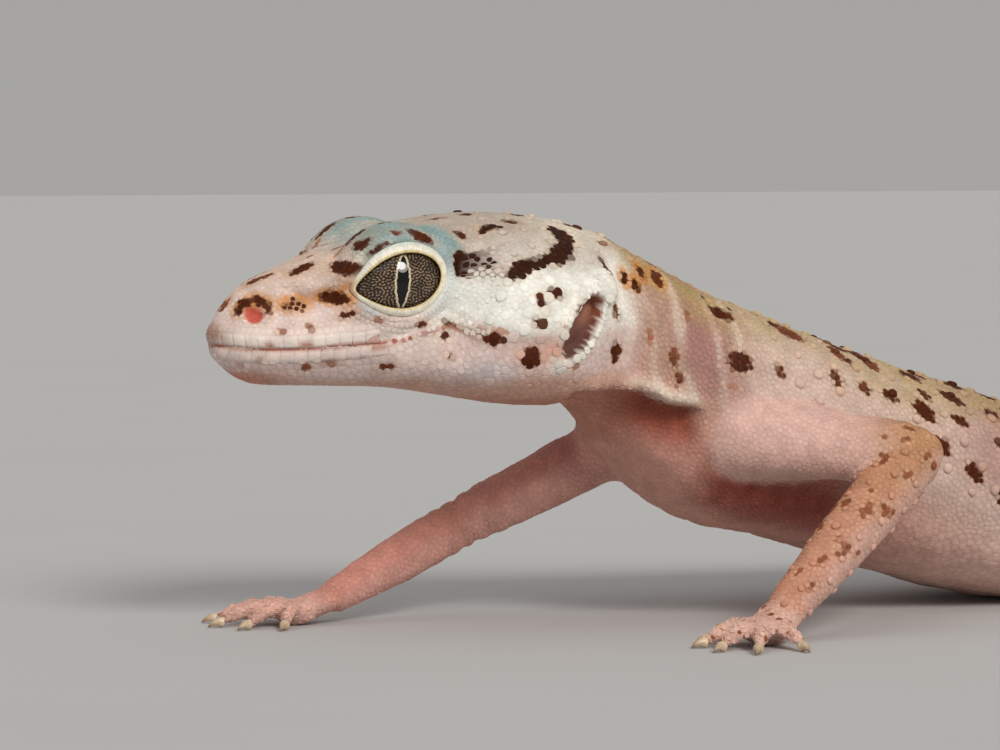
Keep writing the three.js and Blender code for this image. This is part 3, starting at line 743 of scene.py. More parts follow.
TEAL, PALE_BLUE, SKY = colour(136, 164, 162), colour(192, 202, 204), colour(160, 186, 196)
ORANGE, TAN_HALO = colour(210, 136, 58), colour(206, 162, 124)
SPOT, BEAD, FAINT = colour(78, 32, 9), colour(54, 23, 7), colour(160, 94, 62)
EAR_MAUVE, EAR_RED, EAR_PALE = colour(112, 76, 68), colour(158, 84, 62), colour(184, 128, 104)
NECK, LAVENDER, RIDGE = colour(190, 152, 134), colour(160, 112, 108), colour(178, 154, 100)
# The chest's colour is its pink tone darkened by painted shade on its underside.
FLANK, CHEST_PINK_AND_SHADE, BELLY = colour(212, 184, 170), colour(206, 150, 134), colour(220, 180, 166)
# The three colours on the next line are painted light: a pale painted highlight for the crests of the neck's
# folds, a red painted shadow under the throat's fold, and a deep red painted shade for the chest's recess.
FOLD_CREST_HIGHLIGHT, FOLD_SHADOW_RED, RECESS_SHADE_RED = colour(226, 206, 188), colour(140, 62, 42), colour(128, 44, 30)
ARM, FOREARM_TAN, ELBOW_TAN = colour(220, 178, 166), colour(194, 134, 104), colour(180, 128, 84)
# The far arm's colour is the arm's colour in painted shade, darker and redder.
SHADED_FAR_ARM, PAW = colour(204, 140, 128), colour(222, 178, 162)
TAIL_WHITE, TAIL_DARK = colour(222, 214, 206), colour(98, 82, 78)

# Spots of the head's side: back, up, half length, half height, the lean of the long axis in degrees up
# towards the back, and strength. Positions are millimetres from the snout tip and lip level.
SIDE_SPOTS = (
    (1.7, 2.35, 0.42, 0.24, 66, 1), (2.25, 2.9, 0.46, 0.3, 22, 1), (2.95, 3.02, 0.44, 0.34, -10, 1),
    (3.42, 2.5, 0.26, 0.4, 0, 0.9), (8.5, 5.2, 0.74, 0.46, 8, 1), (9.72, 6.86, 0.74, 0.19, 35, 1),
    (10.26, 6.46, 0.8, 0.2, 32, 1), (13.6, 7.2, 0.92, 0.36, -25, 1), (11.75, 7.54, 0.34, 0.15, 0, 0.8),
    (5.2, 2.65, 0.9, 0.5, 5, 1), (7.7, 3.2, 0.86, 0.46, -6, 1),
    (8.3, 2.0, 0.5, 0.22, 25, 0.95), (10.15, 1.7, 0.34, 0.24, -20, 0.5), (13.2, 1.3, 0.37, 0.22, 10, 0.85),
    (15.0, 1.27, 0.36, 0.2, 0, 1), (14.8, 0.4, 0.37, 0.24, 28, 1), (17.7, 0.2, 0.58, 0.5, 0, 1),
    (17.1, 0.32, 0.32, 0.2, 20, 1), (14.95, -0.97, 0.27, 0.22, 15, 0.9), (10.9, -1.65, 0.46, 0.26, 5, 0.85),
    (10.3, -0.22, 0.55, 0.2, 0, 0.35), (7.2, -1.27, 0.62, 0.22, 0, 0.45), (5.7, -1.6, 0.38, 0.24, 0, 0.75),
    (5.9, 1.25, 0.28, 0.26, 0, 0.7), (3.9, 1.0, 0.22, 0.2, 0, 0.55), (3.2, 0.08, 0.24, 0.18, 0, 0.45),
    (5.5, 0.12, 0.36, 0.18, 0, 0.5), (2.6, -0.95, 0.2, 0.2, 0, 0.25), (1.7, -1.35, 0.18, 0.18, 0, 0.3),
    (21.2, 2.65, 0.36, 0.5, 10, 1), (22.2, 3.1, 0.62, 0.34, -12, 1), (20.75, 1.25, 0.38, 0.36, 0, 1),
    (22.65, 0.86, 0.25, 0.22, 0, 0.5), (24.0, 1.85, 0.5, 0.26, 62, 1), (20.25, -1.15, 0.8, 0.72, 0, 1),
    (23.5, -2.1, 0.4, 0.24, 0, 0.45), (27.25, 4.55, 0.6, 0.22, 102, 1), (27.5, 1.5, 0.66, 0.26, 96, 0.8),
    (27.5, -1.25, 0.72, 0.42, 84, 1), (28.7, 3.67, 0.5, 0.3, 98, 1), (29.5, 3.2, 0.5, 0.3, 100, 1),
    (30.4, 3.95, 0.52, 0.34, 104, 1), (31.9, 3.35, 0.62, 0.42, 110, 0.9), (30.3, -0.5, 0.5, 0.25, 88, 0.6),
    (32.0, -2.05, 0.6, 0.3, 86, 0.75), (32.3, -3.4, 0.56, 0.27, 82, 0.85),
)
# The broken band from the eye to the nape: strokes through places given as back, up and half width.
BAND_STROKES = (
    ((16.4, 5.6, 0.46), (16.45, 4.6, 0.46)), ((16.45, 5.6, 0.46), (17.5, 5.4, 0.42), (18.3, 5.4, 0.38)),
    ((19.35, 4.55, 0.42), (20.2, 4.95, 0.52), (21.2, 5.1, 0.4)), ((21.2, 5.1, 0.3), (22.1, 5.32, 0.26)),
    ((22.1, 5.32, 0.3), (23.1, 5.4, 0.55), (24.2, 5.85, 0.6), (24.9, 6.5, 0.58), (24.3, 6.95, 0.42)),
)
# Spots of the head's top on the near side: back, left, half length, half width, lean to the left, strength.
TOP_SPOTS = (
    (6.2, 2.1, 0.92, 0.42, 10, 1), (3.6, 0.7, 1.0, 0.34, 12, 0.85), (1.05, 0.3, 0.4, 0.28, 0, 0.7),
    (7.2, 0.9, 0.4, 0.24, 0, 0.5), (8.9, 1.6, 0.5, 0.2, -20, 0.6), (9.75, 3.3, 0.75, 0.42, 0, 1),
    (11.7, 3.4, 0.6, 0.3, 0, 0.9), (8.9, 2.7, 0.5, 0.2, 0, 0.5), (16.4, 1.6, 0.6, 0.35, 15, 0.8),
    (16.86, 4.87, 0.42, 0.26, 0, 0.9),
    (19.26, 4.22, 0.85, 0.4, -8, 1), (21.3, 3.1, 0.72, 0.34, 0, 0.9), (18.6, 1.2, 0.5, 0.4, 20, 0.9),
    (22.6, 0.6, 0.55, 0.35, -20, 0.9), (26.6, 1.4, 0.6, 0.4, 0, 0.9), (28.0, 3.2, 0.3, 0.22, 0, 0.9),
    (29.4, 1.0, 0.7, 0.4, 20, 0.9), (30.6, 3.0, 0.6, 0.4, 0, 1),
)

# Spots of the neck's and shoulder's left flank, in the animal's axes: y, z, half length, half height.
FLANK_SPOTS = (
    (-0.5, 22.4, 1.1, 0.42, -18), (-0.2, 19.0, 0.95, 0.8), (-3.6, 22.3, 0.34, 0.26, 0, 0.6),
    (3.0, 18.3, 0.6, 0.36, 90, 0.85), (5.7, 20.9, 1.3, 0.5, -20, 0.8), (7.9, 17.6, 0.85, 0.4, 95, 0.9),
    (10.3, 16.9, 0.5, 0.42, 90, 0.85), (9.3, 19.4, 0.6, 0.5, 0, 0.8), (12.6, 18.4, 0.8, 0.4, 0, 0.8),
    (-1.1, 17.3, 0.5, 0.34, 0, 0.25),
)
# Lavender bands across the back, one at the shoulders and two between the limbs: middle and width.
LAVENDER_BANDS = ((2.35, 0.5), (6.3, 0.8), (9.2, 0.7))


def ellipse_share(x, y, spot):
    """Distance from a spot's middle as a share of its half sizes."""
    angle = math.radians(spot[4]) if len(spot) > 4 else 0.0
    dx, dy = x - spot[0], y - spot[1]
    along = dx * math.cos(angle) + dy * math.sin(angle)
    across = dy * math.cos(angle) - dx * math.sin(angle)
    return np.hypot(along / spot[2], across / spot[3])


def marks(depth, strength=1.0):
    """Shares of dark and of its halo, and strength, from the depth inside a spot in millimetres."""
    halo = strength * ease(-0.45, 0.0, depth)
    return np.stack([ease(-0.04, 0.05, depth), halo, np.full(len(depth), strength)])


def stronger(first, second):
    """Of two sets of marks, the darker one at each place, with the wider halo."""
    found = np.where(second[0] * second[2] > first[0] * first[2], second, first)
    found[1] = np.maximum(first[1], second[1])
    return found


def ragged(x, y, seed):
    """A fine unevenness of the edges of spots, in millimetres."""
    return 0.06 * mottle(np.stack([x, y, np.full(len(x), 3.0 * seed)], -1), 0.5, seed)


def spotted(x, y, spots, seed):
    """Marks of listed oval spots."""
    edge = ragged(x, y, seed)
    found = np.zeros((3, len(x)))
    for spot in spots:
        depth = (1 - ellipse_share(x, y, spot)) * min(spot[2], spot[3]) + edge
        found = stronger(found, marks(depth, spot[5] if len(spot) > 5 else 1.0))
    return found


def stroked(x, y, strokes, seed):
    """Marks of listed strokes: bands whose half width changes from place to place."""
    depth = np.full(len(x), -9.0)
    for stroke in strokes:
        for (x0, y0, half0), (x1, y1, half1) in zip(stroke, stroke[1:]):
            dx, dy = x1 - x0, y1 - y0
            share = np.clip(((x - x0) * dx + (y - y0) * dy) / (dx * dx + dy * dy), 0, 1)
            away = np.hypot(x - x0 - share * dx, y - y0 - share * dy)
            depth = np.maximum(depth, half0 + share * (half1 - half0) - away)
    return marks(depth + ragged(x, y, seed))


def scattered(u, v, cell, radius, chance, seed):
    """Depth inside random spots, one at most in each cell of a jittered grid over u and v."""
    rng = np.random.default_rng(seed)
    table = rng.random((4, 64, 64))
    depth = np.full(len(u), -9.0)
    iu, iv = np.floor(u / cell).astype(int), np.floor(v / cell).astype(int)
    for du, dv in itertools.product((-1, 0, 1), repeat=2):
        cu, cv = iu + du, iv + dv
        jitter_u, jitter_v, size, luck = table[:, cu % 64, cv % 64]
        away = np.hypot(u - (cu + 0.2 + 0.6 * jitter_u) * cell, v - (cv + 0.2 + 0.6 * jitter_v) * cell)
        inside = radius * (0.55 + 0.75 * size) - away
        depth = np.maximum(depth, np.where(luck < chance, inside, -9.0))
    return depth


def blend(base, other, share):
    return base + (other - base) * np.clip(share, 0, 1)[:, None]


def layered(ground, layers):
    """Paints laid on a ground one after another, each by its share."""
    for paint, share in layers:
        ground = blend(ground, paint, share)
    return ground


def head_colours(here):
    """Ground colours of the head, with painted shade under the jaw and in the mouth's crease, and the shares
    of dark and halo in its spots.
    """
    left, back, up = here.left, here.back, here.up
    wide = np.abs(left)
    soft = mottle(here.points, 2.2, 20)
    fine = mottle(here.points, 0.9, 24)
    above_lip = up - lip_height(back)
    ridge = hill(up - 2.75 - 0.06 * back, 0.42) * ease(1.2, 3, back) * ease(9.8, 8.6, back) * (wide > 1)
    ground = layered(np.tile(SNOUT, (len(back), 1)), (
        (CHEEK_WHITE, ease(11, 16, back + 0.8 * soft) * ease(-0.6, 1.2, up)),
        (TEMPLE, ease(3.6, 5.6, up + 0.5 * soft) * ease(13, 16, back) * 0.9),
        (CROWN, ease(5.6, 7.4, up + 0.4 * soft) * 0.85),
        (NAPE, ease(21, 26, back) * ease(5.2, 6.6, up + 0.3 * soft)),
        (SNOUT_TOP, ease(3.4, 4.6, up + 0.25 * soft) * ease(9.5, 7, back) * (0.7 + 0.3 * fine)),
        (UPPER_LIP, ease(1.4, 0.6, above_lip) * ease(15, 13, back)),
        (LOWER_LIP, ease(0.1, -0.1, above_lip)),
        (JAW_PINK, ease(-0.7, -1.3, above_lip)),
        # painted shade: the lower jaw and the chin darken and redden towards the underside, as under a shadow
        (JAW_LOW_TONE_AND_SHADE, ease(-2.0, -3.4, up + 0.3 * soft) * 0.9),
        (CHIN_TONE_AND_SHADE, ease(6.5, 1.5, back) * ease(-1.3, -2.4, up) + ease(-3.6, -4.8, up) * 0.8),
        # painted shade: a dark pink line in the mouth's crease, over the pink of the mouth
        (MOUTH_PINK_AND_SHADE, hill(above_lip, 0.1) * ease(CREASE_END, 18, back)),
        (SNOUT_TIP, 0.8 * hill(np.hypot(back - 0.1, 0.8 * (up - 0.75)), 0.6) * (left > -0.6)),
        (BAND_PINK, hill(np.hypot((back - 20.3) / 1.5, up + 1.1), 1.0) * 0.8),
        (JOWL_GREY, hill(np.hypot((back - 17.5) / 2.6, up + 2.0), 0.8) * 0.6),
        (ORANGE, ridge * (0.4 + 0.35 * fine)),
    ))
    for side in (1, -1):
        eye = by_eye(here, side)
        facing = eye.out > -0.5
        upward, snoutward = np.sin(eye.angle), np.cos(eye.angle)
        rim = 2 * rim_half(eye.angle)
        beyond = eye.gap - rim
        above = ease(-0.1, 0.4, upward) * ease(rim + 2.2, rim + 1.3, eye.gap) * facing
        cream = ease(-0.1, 0.3, upward) * ease(2.0, 2.8, eye.along) * ease(rim + 1.1, rim + 0.7, eye.gap)
        over = ease(0.7, 0.95, upward) * hill(beyond - 0.45, 0.4) * facing
        behind = ease(-0.45, -0.9, snoutward) * hill(beyond - 0.3, 0.7) * facing
        front = ease(0.7, 1.0, snoutward) * hill(beyond - 0.2, 0.7) * facing
        below = ease(0.3, 0.8, snoutward) * hill(beyond - 0.2, 0.4) * facing * (eye.height < -0.4)
        ground = layered(ground, (
            (TEAL, above * 0.95 * ease(3.4, 2.4, eye.along)),
            (LID_CREAM, cream * facing),
            (SKY, over * 0.6),
            (PALE_BLUE, behind * 0.5),
            (ORANGE, front * hill(eye.height + 0.35, 0.7) * 0.9),
            (PALE_BLUE, below * 0.8),
        ))
    _, _, ear = by_ear(here)
    ground = layered(ground, (
        (TEAL, hill(left, 6.0) * hill(back - 11.0, 2.6) * ease(5.6, 6.8, up) * 0.6),
        (CHEEK_WHITE, ease(1.75, 1.45, ear) * (wide > 4) * 0.9),
        (EAR_PINK, hill(np.hypot((back - 22.1) / 1.2, up + 0.75), 0.8) * 0.9),
    ))

    # the right side carries the same spots, a little shifted
    right = left < 0
    x, y = back + 0.5 * right, up - 0.25 * right
    side_marks = stronger(spotted(x, y, SIDE_SPOTS, 21), stroked(x, y, BAND_STROKES, 28))
    side_marks = side_marks * (wide > 0.35 * np.maximum(up, 0) + 0.1)
    top_marks = spotted(
        back - 0.45 * right * ease(12, 14, back), wide, TOP_SPOTS, 22
    ) * (up > 0.62 * wide + 2.0)
    return ground, stronger(side_marks, top_marks)


def trunk_colours(here):
    """Ground colours of neck, trunk and tail, with painted shade under the throat's fold, on the chest and in
    its recess, and painted highlights on the neck's crests, and the shares of dark and halo in their spots.
    """
    points = here.points
    soft = mottle(points, 3.5, 30)
    fine = mottle(points, 1.4, 31)
    rise, station = here.rise, here.station
    ridge = ease(0.4, 0.9, rise + 0.12 * soft) * ease(11.8, 11.0, station)
    fold = over_fold(here)
    near_fold = ease(24, 26, here.back) * ease(34.4, 33.2, here.back)
    waves, where = neck_waves(here)
    # where painted shade darkens the chest's recess behind the arm
    recess = ease(2.2, 2.8, station) * ease(4.8, 4.0, station) * hill(rise + 0.66, 0.34)
    tail = ease(11.2, 12.0, station + 0.15 * soft)
    bands = ease(0.25, 0.55, np.sin(2 * np.pi * (station - 11.6) / 1.45 + 0.8 * soft)) * tail
    ground = layered(np.tile(FLANK, (len(points), 1)), (
        (NECK, ease(3.4, 2.4, station) * ease(-0.8, 0, rise)),
        *((LAVENDER, hill(station - middle - 0.2 * soft, width) * ease(-0.25, 0.15, rise) * 0.75)
          for middle, width in LAVENDER_BANDS),
        (RIDGE, ridge * (0.66 + 0.25 * fine)),
        (BELLY, ease(-0.25, -0.75, rise + 0.1 * soft)),
        # painted shade: the chest's underside, darker and redder than the flank
        (CHEST_PINK_AND_SHADE, ease(0.05, -0.45, rise + 0.08 * soft) * ease(6, 4.5, station) * 0.9),
        # painted highlight: pale along the crest of the throat's fold
        (FOLD_CREST_HIGHLIGHT, near_fold * hill(fold - 0.3, 0.6)),
        # painted shadow: dark red under the throat's fold
        (FOLD_SHADOW_RED, near_fold * ease(0.0, -0.5, fold) * ease(-4.8, -1.6, fold) * 0.9),
        # painted highlight: pale on the crests of the neck's upright creases
        (FOLD_CREST_HIGHLIGHT, where * ease(0.1, 0.9, waves) * 0.55),
        # painted shade: deep red in the chest's recess, as if in shadow
        (RECESS_SHADE_RED, recess * ease(0.3, 0.6, np.abs(here.aside)) * 0.85),
        (TAIL_WHITE, tail),
        (TAIL_DARK, bands * ease(-0.5, 0.1, rise + 0.2 * fine) * (0.75 + 0.2 * fine)),
    ))

    along = station * 7.5
    around = np.arctan2(rise, here.aside) * 8.5
    small = scattered(along, around, 2.7, 0.75, 0.62, 33) - 0.06 * fine
    small = np.where((rise > -0.15) & (station > 4.4), small, -9.0)
    neck_small = scattered(along, around, 2.4, 0.5, 0.45, 34)
    small = np.maximum(small, np.where((station < 4.6) & (rise > 0.85), neck_small, -9.0))
    small = np.maximum(small, np.where((station < 4.4) & (rise > 0) & (here.aside < 0), neck_small, -9.0))
    typed = spotted(points[:, 1], points[:, 2], FLANK_SPOTS, 23) * ((here.aside > 0.1) & (station < 6))
    side = spotted(here.back, here.up, SIDE_SPOTS, 21) * ((here.aside > 0.25) & (here.back < 34))
    return ground, stronger(stronger(marks(small), typed), side)


def limb_colours(here, normals):
    """Ground colours of the limbs, with the far arm in painted shade, and the shares of dark and halo in
    their spots.
    """
    soft = mottle(here.points, 2.5, 40)
    upper = ease(-0.3, 0.5, normals[:, 2] + 0.2 * soft)
    fore_right = here.limb == 1
    # painted shade: the far arm takes a darker, redder copy of the arm's colour
    ground = np.where(fore_right[:, None], SHADED_FAR_ARM, ARM)
    tan = np.where(fore_right, 0.15, 0.85) * (0.45 + 0.55 * upper)
    ground = layered(ground, (
        (FOREARM_TAN, ease(0.9, 1.3, here.along) * ease(2.6, 2.0, here.along) * tan),
        (ELBOW_TAN, hill(here.along - 1.0, 0.3) * tan),
        (PAW, ease(2.0, 2.6, here.along) * 0.8),
        (BELLY, (1 - upper) * 0.35),
    ))
    depth = scattered(here.along * 12, here.limb_angle * 3, 1.7, 0.4, 0.6, 41) - 0.08 * soft
    outer = (normals[:, 2] > -0.2) & ~fore_right & (here.along > 0.55)
    return ground, marks(np.where(outer, depth, -9.0), 0.7)


def markings(here, normals):
    """Linear colour at each place, with the painted shade and highlights among the markings, and how dark the
    spots are there, from 0 to 1.
    """
    head_ground, head_marks = head_colours(here)
    trunk_ground, trunk_marks = trunk_colours(here)
    limb_ground, limb_marks = limb_colours(here, normals)
    ground = trunk_ground + (head_ground - trunk_ground) * here.on_head[:, None]
    ground = ground + (limb_ground - ground) * here.on_limb[:, None]
    on_limb = here.on_limb > 0.5
    dark, halo, strength = np.where(
        on_limb, limb_marks, np.where(here.on_head > 0.5, head_marks, trunk_marks)
    )

    ridge = hill(here.up - 2.75 - 0.06 * here.back, 1.1) * ease(10, 9, here.back)
    nape = ease(27.8, 28.6, here.back) * ease(34, 32.5, here.back) * ease(2.2, 3.0, here.up)
    warm = np.maximum(ridge, nape) * (1 - here.on_limb)
    ground = layered(ground, (
        (TAN_HALO, halo * (0.3 + 0.2 * here.on_limb) * (1 - warm)),
        (ORANGE, halo * warm * 0.85),
    ))
    spot = layered(np.tile(SPOT, (len(dark), 1)), (
        (BEAD, ease(15, 16, here.back) * here.on_head * ease(3.5, 4.2, here.up)),
        (FAINT, ease(1.0, 0.5, strength)),
    ))
    ground = ground + (spot - ground) * (dark * (0.35 + 0.65 * ease(0, 0.8, strength)))[:, None]

    ear_back, ear_height, ear = by_ear(here)
    pit = ease(1.12, 1.06, ear) * here.on_head * (np.abs(here.left) > 4)
    inside = ear_paint(ear_back, ear_height, here.points)
    ground = ground + (inside - ground) * pit[:, None]
    away = by_nostril(here)
    frill = hill(away - 1.25, 0.3) * ease(0.1, -0.3, here.up - NOSTRIL[1]) * here.on_head
    ground = layered(ground, ((NOSTRIL_RIM, frill), (NOSTRIL_PINK, ease(1.12, 0.95, away) * here.on_head)))
    return ground, dark * strength


def ear_paint(back, height, points):
    """Inside of the ear: dusky mauve low in front, a pale streak above, and red along the rear."""
    streak = 0.5 + 0.5 * np.sin(5.5 * back + 1.2 * mottle(points, 0.8, 50))
    paint = blend(
        np.tile(EAR_MAUVE, (len(back), 1)), EAR_PALE, ease(-0.8, 1.0, height) * (0.25 + 0.5 * streak)
    )
    return blend(paint, EAR_RED, ease(0.6, 1.5, back + 0.15 * height))


# ---------------------------------------------------------------- the skin
# Space is stretched about these places while the skin is made, so that they get the finest mesh.
FINE_PLACES = [(from_head(np.array([0.0, 12.5, 1.5])), 2.25, 16.0)]
for limb in limbs:
    tips = np.mean([digit.tip for digit in limb.bones.digits], axis=0)
    FINE_PLACES += [(0.5 * limb.bones.knuckles + 0.5 * tips, 2.15, 6.5)]
FINE_PLACES += [(from_head(np.array([side * 8.6, *EAR])), 1.9, 2.6) for side in (1, -1)]
FINE_PLACES += [(from_head(np.array([side * 1.8, *NOSTRIL])), 1.8, 1.4) for side in (1, -1)]
SKIN_MESH = 0.52  # mesh size in the stretched space


def stretched(points, undo=False):
    """Moves points out from each fine place: distance r becomes r (1 + (gain - 1) / (1 + (r / spread)^2))."""
    near = np.linspace(0, 400, 8001)
    for centre, gain, spread in FINE_PLACES[::-1] if undo else FINE_PLACES:
        far = near * (1 + (gain - 1) / (1 + (near / spread) ** 2))
        offset = points - centre
        distance = np.maximum(np.linalg.norm(offset, axis=1), 1e-9)
        wanted = np.interp(distance, far, near) if undo else np.interp(distance, near, far)
        points = centre + offset * (wanted / distance)[:, None]
    return points


def skin_shells():
    """Closed forms of the head, the body with its tail, and each limb, palm and digit."""
    tip = TIP_RADIUS * (1 - np.cos(np.linspace(0.1, np.pi / 2, 14)))
    yield shell(from_head(head_grid(np.concatenate([tip, np.arange(3.8, 29.3, 0.4)]),
                                    np.arange(0, 8, 1 / 12), -COAT)))
    station = np.linspace(0, len(BODY) - 1, 420)
    swell = np.zeros_like(station)
    for first, last, count in TAIL_WHORLS:
        phase = (station - first) / (last - first) * count
        ring = -np.cos(2 * np.pi * (phase % 1) ** 1.4) * WHORL_RELIEF
        swell = np.where((station >= first) & (station < last), ring, swell)
    yield shell(body_grid(station, round_angles(72), -COAT, swell))
    for limb in limbs:
        yield shell(limb_grid(limb.root, limb.elbow, limb.upper, grow=-COAT))
        yield shell(limb_grid(limb.elbow, limb.wrist, limb.lower, grow=-COAT))
        yield shell(limb_grid(limb.wrist, limb.bones.knuckles, limb.palm, flat=limb.flat, grow=-COAT))
        for digit in limb.bones.digits:
            u = np.linspace(0, 1, 15)
            radii = DIGIT_ROOT + (DIGIT_TIP - DIGIT_ROOT) * u - 0.06
            radii[-1] *= 0.6
            yield shell(tube_grid(bezier(digit.root, digit.crest, digit.tip, u), radii, 16))


def fused(shells, size):
    """One closed surface round overlapping shells, as points and quads, by a voxel remesh."""
    points, faces = joined(shells)
    rough = linked("rough_skin", put_mesh("rough_skin", stretched(points), faces, False))
    remesh = rough.modifiers.new("one surface", "REMESH")
    remesh.mode = "VOXEL"
    remesh.voxel_size = size
    mesh = bpy.data.meshes.new_from_object(rough.evaluated_get(bpy.context.evaluated_depsgraph_get()))
    points = np.empty(3 * len(mesh.vertices))
    mesh.vertices.foreach_get("co", points)
    corners = np.empty(len(mesh.loops), np.int32)
    mesh.loops.foreach_get("vertex_index", corners)
    bpy.data.objects.remove(rough)
    return stretched(points.reshape(-1, 3), undo=True), corners.reshape(-1, 4)


skin_points, skin_quads = fused(skin_shells(), SKIN_MESH)
plain = locate(skin_points)
joins = np.maximum(hill(plain.trunk_depth - plain.limb_depth, 1.5) * ease(2.5, 1.2, plain.limb_depth),
                   0.9 * hill(plain.back - 28.6, 2.2) * (plain.up > -9))
elbows = 0.5 * hill(plain.along - 1, 0.12) * plain.on_limb
skin_points = smoothed(skin_points, skin_quads, 0.6 * np.maximum(joins, elbows), 30)
skin_points = smoothed(skin_points, skin_quads, np.full(len(skin_points), 0.35), 2)
skin_points = relieved(skin_points, skin_quads)
skin_normals = normals_of(skin_points, skin_quads)


# ---------------------------------------------------------------- shader maths
class Value:
    """A number socket of a shader; arithmetic on it adds Math nodes."""

    def __init__(self, tree, socket):
        self.tree, self.socket = tree, socket

    def maths(self, operation, *others, clamp=False):
        inputs = {index: other for index, other in enumerate((self, *others))}
        return self.tree.add("ShaderNodeMath", {"operation": operation, "use_clamp": clamp}, inputs).value(0)

    def __add__(self, other):
        return self.maths("ADD", other)

    def __sub__(self, other):
        return self.maths("SUBTRACT", other)

    def __rsub__(self, other):
        return (self * -1.0).maths("ADD", other)

    def __mul__(self, other):
        return self.maths("MULTIPLY", other)

    def __truediv__(self, other):
        return self.maths("DIVIDE", other)

    def __pow__(self, other):
        return self.maths("POWER", other)

    def __abs__(self):
        return self.maths("ABSOLUTE")

    __radd__, __rmul__ = __add__, __mul__

    def between(self, low, high):
        """0 at low, 1 at high, smooth between and held outside."""
        settings = {"interpolation_type": "SMOOTHSTEP"}
        inputs = {"Value": self, "From Min": low, "From Max": high}
        return self.tree.add("ShaderNodeMapRange", settings, inputs).value(0)


class Finish:
    """A material with one Principled shader, and the ways to add nodes to it."""

    def __init__(self, name, **constants):
        self.material = bpy.data.materials.new(name)
        self.material.use_nodes = True
        self.nodes, self.links = self.material.node_tree.nodes, self.material.node_tree.links
        self.shader = self.nodes["Principled BSDF"]
        for socket, value in constants.items():
            self.shader.inputs[socket.replace("_", " ").title().replace("Ior", "IOR")].default_value = value

    def add(self, kind, settings=None, inputs=None):
        node = self.nodes.new(kind)
        for setting, value in (settings or {}).items():
            setattr(node, setting, value)
        for socket, value in (inputs or {}).items():
            self.feed(node.inputs[socket], value)
        return Outlets(self, node)

    def feed(self, socket, value):
        if isinstance(value, Value):
            self.links.new(value.socket, socket)
        else:
            socket.default_value = value

    def set(self, **inputs):
        for socket, value in inputs.items():
            self.feed(self.shader.inputs[socket.replace("_", " ")], value)

    def place(self):
        return self.add("ShaderNodeTexCoord").value("Object")

    def attribute(self, name, output="Color"):
        return self.add("ShaderNodeAttribute", {"attribute_name": name}).value(output)

    def noise(self, place, scale, detail=2.0, distortion=0.0):
        inputs = {"Vector": place, "Scale": scale, "Detail": detail, "Distortion": distortion}
        return self.add("ShaderNodeTexNoise", None, inputs).value("Fac")

    def cells(self, place, scale, feature="F1"):
        inputs = {"Vector": place, "Scale": scale}
        return self.add("ShaderNodeTexVoronoi", {"feature": feature}, inputs).value("Distance")

    def mix(self, first, second, share, kind="MIX"):
        """Two colours mixed by a share, or by another kind of blend."""
        node = self.add("ShaderNodeMix", {"data_type": "RGBA", "blend_type": kind}, {"Factor": share})
        colours = [socket for socket in node.node.inputs if socket.type == "RGBA"]
        for socket, value in zip(colours, (first, second)):
            self.feed(socket, value)
        return Value(self, [socket for socket in node.node.outputs if socket.type == "RGBA"][0])

    def bump(self, height, distance, strength=1.0):
        inputs = {"Height": height, "Distance": distance, "Strength": strength}
        return self.add("ShaderNodeBump", None, inputs).value("Normal")


class Outlets:
    """The outputs of a node that has just been added."""

    def __init__(self, tree, node):
        self.tree, self.node = tree, node

    def value(self, output):
        return Value(self.tree, self.node.outputs[output])


def opaque(linear):
    """A linear colour with full alpha, for a shader's socket."""
    return (*(float(channel) for channel in linear), 1.0)


# ---------------------------------------------------------------- finishes
def scaly_finish(name, roughness, fine):
    """Living skin: the painted tint, a faint mottle, fine granules in the bump and a soft gloss."""
    finish = Finish(name, subsurface_weight=0.12, subsurface_scale=0.0008, specular_ior_level=0.12)
    finish.shader.inputs["Subsurface Radius"].default_value = (1.0, 0.4, 0.25)
    place = finish.place()
    mottled = finish.noise(place, 900.0, 3.0)
    tinted = finish.attribute("tint")
    shade = finish.mix(opaque(np.full(3, 0.90)), opaque(np.full(3, 1.08)), mottled.between(0.3, 0.7))
    finish.set(Base_Color=finish.mix(tinted, shade, 1.0, "MULTIPLY"))
    finish.set(Roughness=roughness + 0.16 * (mottled - 0.5))
    grain = finish.cells(place, fine)
    finish.set(Normal=finish.bump(grain.maths("MULTIPLY", -1.0), 0.00004, 0.5))
    return finish.material


skin_finish = scaly_finish("gecko_skin", 0.6, 5200.0)
scale_finish = scaly_finish("gecko_scale", 0.5, 7000.0)


